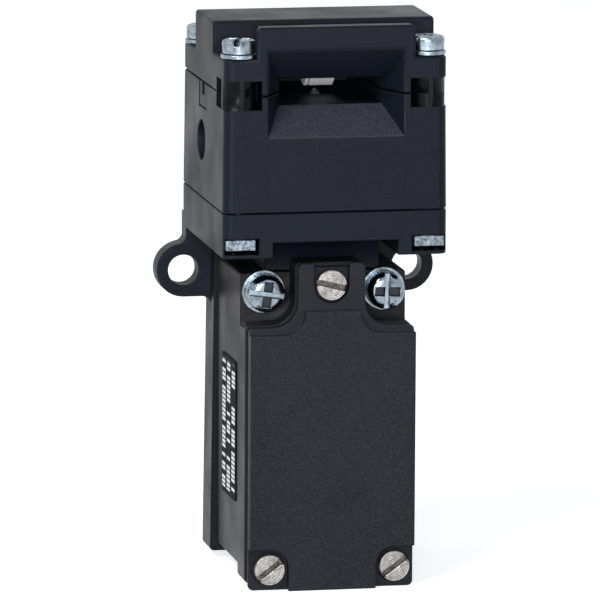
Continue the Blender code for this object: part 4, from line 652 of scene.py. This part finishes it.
def fastener_tree():
    """Puts one fastener on every point, turned about its own axis by the point's own angle."""
    name = "Fasteners On Points"
    tree = bpy.data.node_groups.get(name)
    if tree:
        return tree
    tree = bpy.data.node_groups.new(name, "GeometryNodeTree")
    tree.interface.new_socket("Geometry", in_out="INPUT", socket_type="NodeSocketGeometry")
    tree.interface.new_socket("Fastener", in_out="INPUT", socket_type="NodeSocketObject")
    tree.interface.new_socket("Axis", in_out="INPUT", socket_type="NodeSocketVector")
    tree.interface.new_socket("Material", in_out="INPUT", socket_type="NodeSocketMaterial")
    tree.interface.new_socket("Recess Material", in_out="INPUT", socket_type="NodeSocketMaterial")
    tree.interface.new_socket("Geometry", in_out="OUTPUT", socket_type="NodeSocketGeometry")
    inputs = add(tree, "NodeGroupInput")
    shape = add(tree, "GeometryNodeObjectInfo", {"Object": inputs.outputs["Fastener"]})
    own = add(tree, "GeometryNodeStoreNamedAttribute", {
        "Geometry": shape.outputs["Geometry"], "Name": "own",
        "Value": add(tree, "GeometryNodeInputPosition").outputs["Position"]},
        data_type="FLOAT_VECTOR", domain="POINT")
    turn = add(tree, "GeometryNodeInputNamedAttribute", {"Name": "turn"}, data_type="FLOAT")
    angles = add(tree, "ShaderNodeVectorMath", {
        0: inputs.outputs["Axis"]}, operation="SCALE")
    tree.links.new(turn.outputs["Attribute"], angles.inputs["Scale"])
    placed = add(tree, "GeometryNodeInstanceOnPoints", {
        "Points": inputs.outputs["Geometry"], "Instance": own.outputs["Geometry"],
        "Rotation": angles.outputs["Vector"]})
    whole = add(tree, "GeometryNodeRealizeInstances", {"Geometry": placed.outputs["Instances"]})
    plated = add(tree, "GeometryNodeSetMaterial", {
        "Geometry": whole.outputs["Geometry"], "Material": inputs.outputs["Material"]})
    recess = add(tree, "GeometryNodeInputNamedAttribute", {"Name": "recess"}, data_type="BOOLEAN")
    done = add(tree, "GeometryNodeSetMaterial", {
        "Geometry": plated.outputs["Geometry"], "Selection": recess.outputs["Attribute"],
        "Material": inputs.outputs["Recess Material"]})
    add(tree, "NodeGroupOutput", {"Geometry": done.outputs["Geometry"]})
    return tree


def set_fasteners(name, fastener, places, turns, axis, material, nodes, recess=None):
    """Make one mesh of like fasteners at their places and let it stand for their CAD nodes."""
    points = bpy.data.meshes.new(name)
    points.from_pydata([tuple(place) for place in places], [], [])
    attribute = points.attributes.new("turn", "FLOAT", "POINT")
    for item, turn in zip(attribute.data, turns):
        item.value = math.radians(turn)
    thing = new_piece(name, points)
    tree = fastener_tree()
    modifier = thing.modifiers.new("Fasteners", "NODES")
    modifier.node_group = tree
    sockets = {item.name: item.identifier for item in tree.interface.items_tree
               if item.item_type == "SOCKET" and item.in_out == "INPUT"}
    modifier[sockets["Fastener"]] = fastener
    modifier[sockets["Axis"]] = axis
    modifier[sockets["Material"]] = material
    modifier[sockets["Recess Material"]] = recess or material
    bake_modifiers(thing)
    remove_piece(fastener)
    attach(thing, ROOT_BODY)
    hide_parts(*nodes)


def node_centre(node):
    low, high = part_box(node)
    return (low + high) / 2.0


def front_places(nodes, head_height):
    """Where the heads of screws that go in from the front have their undersides."""
    places = []
    for node in nodes:
        centre = node_centre(node)
        places.append((centre.x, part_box(node)[0].y + head_height, centre.z))
    return places


def finish_metal(thing):
    """Round the edges of a turned piece slightly and make it a plain mesh."""
    thing.data.set_sharp_from_angle(angle=SHARP)
    soften_edges(thing, sizes().metal_edge, segments=2, rounds=0)
    bake_modifiers(thing)


def slotted_screw(name, profile, slots, dark=None):
    """A screw along +Z, with the underside of its head at zero.

    Each slot is given by half its length, half its width and its depth. The faces in the dark slots, or else
    in all of them, are marked for the recess material, which paints shade into them where it differs from
    the screw's own.
    """
    top = profile[0][1]
    thing = new_piece(name, turned_mesh(name, profile, 72))
    carve(thing, [new_piece("slot", box_mesh("slot", (-long, -wide, top - deep), (long, wide, top + MM)))
                  for long, wide, deep in slots])
    finish_metal(thing)
    slack = sizes().metal_edge
    marks = thing.data.attributes.new("recess", "BOOLEAN", "FACE")
    for face, mark in zip(thing.data.polygons, marks.data):
        place = face.center
        mark.value = place.z < top - slack * 1.5 and any(
            abs(place.x) < long and abs(place.y) < wide + slack and place.z > top - deep - slack
            for long, wide, deep in dark or slots)
    return thing


def point_forward(thing):
    """Turn a shape made along +Z so that it points along -Y, in its mesh."""
    thing.data.transform(Matrix.Rotation(math.pi / 2.0, 4, "X"))


def head_seam():
    return (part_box("head_body")[1].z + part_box("head_cap")[0].z) / 2.0


def corner_window_test():
    """A test of whether a place is inside one of the two front corner windows."""
    seam = head_seam()
    side = -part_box("head_body")[0].x
    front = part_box("head_body")[0].y
    skin = 0.05 * MM
    width = 8.9 * MM
    depth = 10.7 * MM
    half_height = 3.7 * MM

    def inside(place):
        return (side - width < abs(place.x) < side - skin and front + skin < place.y < front + depth
                and abs(place.z - seam) < half_height)

    return inside


def entry_floor_test():
    """A test of whether a face is part of the sloping lower wall of the entry."""
    seam = head_seam()
    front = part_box("head_body")[0].y
    skin = 0.2 * MM
    depth = 14.0 * MM
    drop = 10.5 * MM

    def inside(face):
        place = face.center
        return (abs(place.x) < ENTRY_HALF_WIDTH and front + skin < place.y < front + depth
                and seam - drop < place.z < seam and face.normal.z > 0.3 and face.normal.y < -0.15)

    return inside


def close_seam(mesh, inside):
    """Bring the places that pass a test and lie at the head's seam right onto it."""
    seam = head_seam()
    for vertex in mesh.vertices:
        if abs(vertex.co.z - seam) < 0.2 * MM and inside(vertex.co):
            vertex.co.z = seam


# Operators

class SWITCH_OT_mouldings(bpy.types.Operator):
    """Finish the head, the carrier, the housing and its cover"""
    bl_idname = "switch.mouldings"
    bl_label = "Mouldings"

    def execute(self, context):
        edge = sizes().mould_edge
        cap_edge = edge * 2.3
        small_edge = edge * 0.5
        dress("carrier_frame", head_material(), edge)
        in_window = corner_window_test()
        body = dress("head_body", head_material(), edge, plain=in_window)
        cap = dress("head_cap", head_material(), cap_edge, plain=in_window)
        for half in (body, cap):
            close_seam(half.data, in_window)
            # The faces in the corner windows, post and walls, get a nearly black colour as painted shade.
            paint_faces(half, material_named("polished_painted_shade_moulding", polished_painted_shade_plastic),
                        lambda face: in_window(face.center))
        # The entry's lower wall gets a coarser grain and a lighter colour as painted light.
        paint_faces(body, coarse_painted_light_material(), entry_floor_test())
        dress("latch_clip", head_material(), small_edge)
        dress("switch_housing", housing_material(), edge)
        dress("housing_cover", cover_material(), edge)
        dress("cover_gasket", material_named("nitrile_rubber", seal_rubber), small_edge)
        return {"FINISHED"}


class SWITCH_OT_head_screws(bpy.types.Operator):
    """Make the four pan head screws of the head with their washers and square nuts"""
    bl_idname = "switch.head_screws"
    bl_label = "Head Screws"

    def execute(self, context):
        zinc = material_named("zinc_plated_steel", zinc_plated)
        names = ["head_screw_" + corner for corner in CORNERS]
        low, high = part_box(names[0])
        radius = (high.x - low.x) / 2.0
        head_height = 3.3 * MM
        shank = 2.0 * MM
        length = high.z - low.z - head_height
        profile = [(0.0, head_height), (radius * 0.6, head_height - 0.03 * MM),
                   (radius * 0.8, head_height - 0.12 * MM), (radius * 0.91, head_height - 0.35 * MM),
                   (radius * 0.96, head_height - 0.75 * MM), (radius * 0.97, head_height - 1.2 * MM),
                   (radius * 0.94, 0.0), (shank, 0.0), (shank, -length), (0.0, -length)]
        places = []
        for name in names:
            low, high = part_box(name)
            places.append(((low.x + high.x) / 2.0, (low.y + high.y) / 2.0, high.z - head_height))
        slot = (radius * 1.5, 0.55 * MM, 1.4 * MM)
        cross = (0.55 * MM, 2.3 * MM, 1.8 * MM)
        fastener = slotted_screw("pan_screw", profile, (slot, cross))
        set_fasteners("pan_screws", fastener, places, CORNER_TURNS, (0.0, 0.0, 1.0), zinc, names)

        names = ["washer_" + corner for corner in CORNERS]
        low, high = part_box(names[0])
        radius = (high.x - low.x) / 2.0
        thick = high.z - low.z
        bore = 2.3 * MM
        washer = new_piece("head_washer", turned_mesh("head_washer", [
            (radius, thick), (radius, 0.0), (bore, 0.0), (bore, thick)], 64))
        finish_metal(washer)
        places = [node_centre(name) - Vector((0.0, 0.0, thick / 2.0)) for name in names]
        set_fasteners("head_washers", washer, places, CORNER_TURNS, (0.0, 0.0, 1.0), zinc, names)

        rough = material_named("zinc_plated_blank", rough_zinc)
        nut_edge = 0.2 * MM
        for corner in CORNERS:
            dress("square_nut_" + corner, rough, nut_edge, segments=2)
        return {"FINISHED"}


class SWITCH_OT_housing_screws(bpy.types.Operator):
    """Make the two screws that hold the housing, with their spring and flat washers"""
    bl_idname = "switch.housing_screws"
    bl_label = "Housing Screws"

    def execute(self, context):
        zinc = material_named("zinc_plated_steel", zinc_plated)
        sides = ("left", "right")
        names = ["housing_screw_" + side for side in sides]
        low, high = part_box(names[0])
        radius = (high.x - low.x) / 2.0
        head_height = 3.4 * MM
        shank = 2.5 * MM
        length = high.y - low.y - head_height
        profile = [(0.0, head_height), (radius * 0.5, head_height - 0.03 * MM),
                   (radius * 0.76, head_height - 0.2 * MM), (radius * 0.9, head_height - 0.6 * MM),
                   (radius * 0.98, head_height - 1.3 * MM), (radius, head_height - 2.0 * MM),
                   (radius, 0.0), (shank, 0.0), (shank, -length), (0.0, -length)]
        reach = radius * 1.5
        slot = (reach, 0.6 * MM, 1.2 * MM)
        cross = (1.0 * MM, 2.9 * MM, 1.0 * MM)
        fastener = slotted_screw("deck_screw", profile, (slot, cross), (cross,))
        point_forward(fastener)
        places = front_places(names, head_height)
        smooth = material_named("zinc_plated_smooth", smooth_zinc)
        # The cross of the deck screws gets a nearly black colour as painted shade and painted reflection.
        dark = material_named("painted_shade_cross_steel", cross_shade_steel)
        set_fasteners("deck_screws", fastener, places, (8.0, 92.0), (0.0, 1.0, 0.0), smooth, names, dark)

        bore = 2.8 * MM
        for kind, gap in (("flat_washer", 0.0), ("spring_washer", 0.6 * MM)):
            names = [kind + "_" + side for side in sides]
            low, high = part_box(names[0])
            radius = (high.x - low.x) / 2.0
            thick = high.y - low.y
            washer = new_piece(kind, turned_mesh(kind, [
                (radius, thick), (radius, 0.0), (bore, 0.0), (bore, thick)], 72))
            if gap:
                split = new_piece("split", box_mesh(
                    "split", (0.0, -gap / 2.0, -MM), (reach, gap / 2.0, 3.0 * MM)))
                split.data.transform(Matrix.Rotation(math.radians(35.0), 4, "Z"))
                carve(washer, [split])
            point_forward(washer)
            finish_metal(washer)
            places = [node_centre(name) + Vector((0.0, thick / 2.0, 0.0)) for name in names]
            set_fasteners(kind + "s", washer, places, (0.0, 130.0), (0.0, 1.0, 0.0), zinc, names)
        return {"FINISHED"}


class SWITCH_OT_cover_screws(bpy.types.Operator):
    """Make the three cheese head screws of the front cover"""
    bl_idname = "switch.cover_screws"
    bl_label = "Cover Screws"

    def execute(self, context):
        nickel = material_named("nickel_plated_steel", turned_nickel)
        names = ["cover_screw_top", "cover_screw_left", "cover_screw_right"]
        low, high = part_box(names[0])
        radius = (high.x - low.x) / 2.0
        head_height = 2.4 * MM
        shank = 2.0 * MM
        length = high.y - low.y - head_height
        profile = [(0.0, head_height), (radius, head_height), (radius, 0.0), (shank, 0.0),
                   (shank, -length), (0.0, -length)]
        slot = (radius * 1.5, 0.6 * MM, 1.2 * MM)
        fastener = slotted_screw("cheese_screw", profile, (slot,))
        point_forward(fastener)
        places = front_places(names, head_height)
        # The slots of the cover screws get a dark colour as painted shade.
        dull = material_named("painted_shade_slot_steel", slot_shade_steel)
        set_fasteners("cheese_screws", fastener, places, (14.0, -37.0, -36.0), (0.0, 1.0, 0.0),
                      nickel, names, dull)
        return {"FINISHED"}


class SWITCH_OT_label(bpy.types.Operator):
    """Finish the film label on the left face with plain dashes"""
    bl_idname = "switch.label"
    bl_label = "Side Label"

    def execute(self, context):
        film_edge = 0.04 * MM
        dress("side_label", material_named("printed_film", label_film), film_edge, segments=2)
        return {"FINISHED"}


class SWITCH_OT_mechanism(bpy.types.Operator):
    """Finish the drive wheel, the plunger and the lock bolt"""
    bl_idname = "switch.mechanism"
    bl_label = "Mechanism"

    def execute(self, context):
        steel = material_named("ground_steel", bright_steel)
        sintered = material_named("sintered_steel", sintered_steel)
        wheel_edge = 0.15 * MM
        edge = sizes().metal_edge
        dress("drive_wheel", sintered, wheel_edge, WHEEL_BODY, 2)
        dress("coding_disc", sintered, wheel_edge, WHEEL_BODY, 2)
        dress("wheel_axle", steel, wheel_edge, WHEEL_BODY, 2)
        dress("push_rod", material_named("oiled_steel", oiled_steel), edge, PLUNGER_BODY, 2)
        dress("lock_plunger", steel, edge, LOCK_BODY, 2)
        dress_spring("return_spring", steel)
        dress_spring("lock_spring", steel)
        return {"FINISHED"}


class SWITCH_OT_inner_parts(bpy.types.Operator):
    """Finish the contacts, the coil and the other pieces inside"""
    bl_idname = "switch.inner_parts"
    bl_label = "Inner Parts"

    def execute(self, context):
        melamine = material_named("melamine", inner_plastic)
        brass = material_named("rolled_brass", rolled_brass)
        zinc = material_named("zinc_plated_steel", zinc_plated)
        finishes = {
            "contact_block": melamine, "coil_bobbin": melamine, "contact_carriage": melamine,
            "contact_bridge_upper": brass, "contact_bridge_lower": brass, "guide_bush": brass,
            "coil_winding": material_named("enamelled_copper", copper_winding),
            "rod_seal": material_named("nitrile_rubber", seal_rubber),
            "solenoid_yoke": zinc,
        }
        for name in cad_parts:
            if name.startswith("fixed_contact_"):
                finishes[name] = brass
            if name.startswith(("terminal_screw_", "block_screw_", "yoke_screw_")):
                finishes[name] = zinc
        for name, material in finishes.items():
            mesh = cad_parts[name].data
            mesh.materials.clear()
            mesh.materials.append(material)
        return {"FINISHED"}


class SWITCH_OT_stage(bpy.types.Operator):
    """Make the floor, the light and the camera"""
    bl_idname = "switch.stage"
    bl_label = "Stage"

    def execute(self, context):
        make_floor()
        make_world()
        make_lamps()
        make_camera()
        context.scene.view_settings.view_transform = "Standard"
        return {"FINISHED"}


# Stage

def seen_directly(tree):
    """One for the rays of the camera, of reflections and of transmission, and zero for the rest."""
    path = add(tree, "ShaderNodeLightPath")
    some = add(tree, "ShaderNodeMath", {
        0: path.outputs["Is Camera Ray"], 1: path.outputs["Is Glossy Ray"]}, operation="MAXIMUM")
    return add(tree, "ShaderNodeMath", {
        0: some.outputs["Value"], 1: path.outputs["Is Transmission Ray"]},
        operation="MAXIMUM").outputs["Value"]


def make_floor():
    """Pale paper that looks white to the camera and still takes the object's shadow."""
    half = 4.0
    glow = 0.75
    mesh = bpy.data.meshes.new("floor")
    mesh.from_pydata([(-half, -half, 0.0), (half, -half, 0.0), (half, half, 0.0), (-half, half, 0.0)],
                     [], [(0, 1, 2, 3)])
    floor = new_piece("floor", mesh)
    material, tree, shader, _ = start_material("floor_paper", (0.5, 0.5, 0.5), 0.9, gloss=0.0)
    lift = add(tree, "ShaderNodeEmission", {"Strength": times(tree, seen_directly(tree), glow)})
    both = add(tree, "ShaderNodeAddShader", {0: shader.outputs["BSDF"], 1: lift.outputs["Emission"]})
    tree.links.new(both.outputs["Shader"], tree.nodes["Material Output"].inputs["Surface"])
    mesh.materials.append(material)


def make_world():
    """A white surround behind and beside the object, darker on the side the camera stands on."""
    world = bpy.data.worlds.new("studio")
    bpy.context.scene.world = world
    world.use_nodes = True
    tree = world.node_tree
    tree.nodes.clear()
    place = add(tree, "ShaderNodeTexCoord").outputs["Generated"]
    split = add(tree, "ShaderNodeSeparateXYZ", {"Vector": place})
    depth = add(tree, "ShaderNodeMapRange", {
        "Value": split.outputs["Y"], "From Min": -0.45, "From Max": 0.15,
        "To Min": 0.05, "To Max": 0.6})
    strength = add(tree, "ShaderNodeMix", {
        "Factor": seen_directly(tree), "A": depth.outputs["Result"], "B": 1.0}, data_type="FLOAT")
    light = add(tree, "ShaderNodeBackground", {
        "Color": (0.93, 0.965, 1.0, 1.0), "Strength": strength.outputs["Result"]})
    add(tree, "ShaderNodeOutputWorld", {"Surface": light.outputs["Background"]})


def aim(thing, target):
    """Point a lamp at a place."""
    run = Vector(target) - thing.location
    thing.rotation_mode = "QUATERNION"
    thing.rotation_quaternion = run.to_track_quat("-Z", "Y")


def make_lamps():
    """A large soft light from the upper left and a smaller one from the front."""
    middle = (0.0, 0.0, 0.07)
    lamps = [
        ("key_softbox", (-0.7, -0.7, 1.0), 0.55, 15.5, (0.95, 0.97, 1.0)),
        ("front_softbox", (-0.24, -1.15, 0.25), 0.3, 11.0, (0.94, 0.97, 1.0)),
    ]
    for name, place, size, power, colour in lamps:
        data = bpy.data.lights.new(name, "AREA")
        data.shape = "SQUARE"
        data.size = size
        data.energy = power
        data.color = colour
        lamp = bpy.data.objects.new(name, data)
        lamp.location = place
        bpy.context.scene.collection.objects.link(lamp)
        aim(lamp, middle)


def make_camera():
    """A long lens a little left of the front and a little above, as in the photograph."""
    azimuth = math.radians(-11.429)
    elevation = math.radians(9.573)
    roll = math.radians(0.305)
    distance = 1760.0 * MM
    target = Vector((-8.27, -26.0, 67.96)) * MM
    focal_pixels = 7737.5
    frame_pixels = 600.0
    forward = Vector((-math.sin(azimuth) * math.cos(elevation), math.cos(azimuth) * math.cos(elevation),
                      -math.sin(elevation)))
    right = Vector((math.cos(azimuth), math.sin(azimuth), 0.0))
    up = right.cross(forward)
    right_rolled = right * math.cos(roll) + up * math.sin(roll)
    up_rolled = up * math.cos(roll) - right * math.sin(roll)
    data = bpy.data.cameras.new("camera")
    data.sensor_width = 36.0
    data.lens = focal_pixels * data.sensor_width / frame_pixels
    data.clip_start = 0.05
    data.clip_end = 50.0
    camera = bpy.data.objects.new("camera", data)
    turn = Matrix((right_rolled, up_rolled, -forward)).transposed()
    camera.matrix_world = Matrix.Translation(target - forward * distance) @ turn.to_4x4()
    bpy.context.scene.collection.objects.link(camera)
    bpy.context.scene.camera = camera


# Panel and registration

class SWITCH_PT_panel(bpy.types.Panel):
    bl_idname = "SWITCH_PT_panel"
    bl_label = "Interlock Switch"
    bl_space_type = "VIEW_3D"
    bl_region_type = "UI"
    bl_category = "Switch"

    def draw(self, context):
        layout = self.layout
        for group in (context.scene.switch_sizes, context.scene.switch_finish):
            box = layout.box()
            for name in group.bl_rna.properties.keys():
                if name not in ("rna_type", "name"):
                    box.prop(group, name)
        for operator in OPERATORS:
            layout.operator(operator.bl_idname)


OPERATORS = (
    SWITCH_OT_mouldings,
    SWITCH_OT_head_screws,
    SWITCH_OT_housing_screws,
    SWITCH_OT_cover_screws,
    SWITCH_OT_label,
    SWITCH_OT_mechanism,
    SWITCH_OT_inner_parts,
    SWITCH_OT_stage,
)
CLASSES = (SwitchFinish, SwitchSizes, *OPERATORS, SWITCH_PT_panel)


def register():
    for item in CLASSES:
        bpy.utils.register_class(item)
    bpy.types.Scene.switch_finish = PointerProperty(type=SwitchFinish)
    bpy.types.Scene.switch_sizes = PointerProperty(type=SwitchSizes)


def unregister():
    del bpy.types.Scene.switch_sizes
    del bpy.types.Scene.switch_finish
    for item in reversed(CLASSES):
        bpy.utils.unregister_class(item)


def main():
    register()
    bpy.ops.switch.mouldings()
    bpy.ops.switch.head_screws()
    bpy.ops.switch.housing_screws()
    bpy.ops.switch.cover_screws()
    bpy.ops.switch.label()
    bpy.ops.switch.mechanism()
    bpy.ops.switch.inner_parts()
    bpy.ops.switch.stage()


if __name__ == "__main__":
    main()
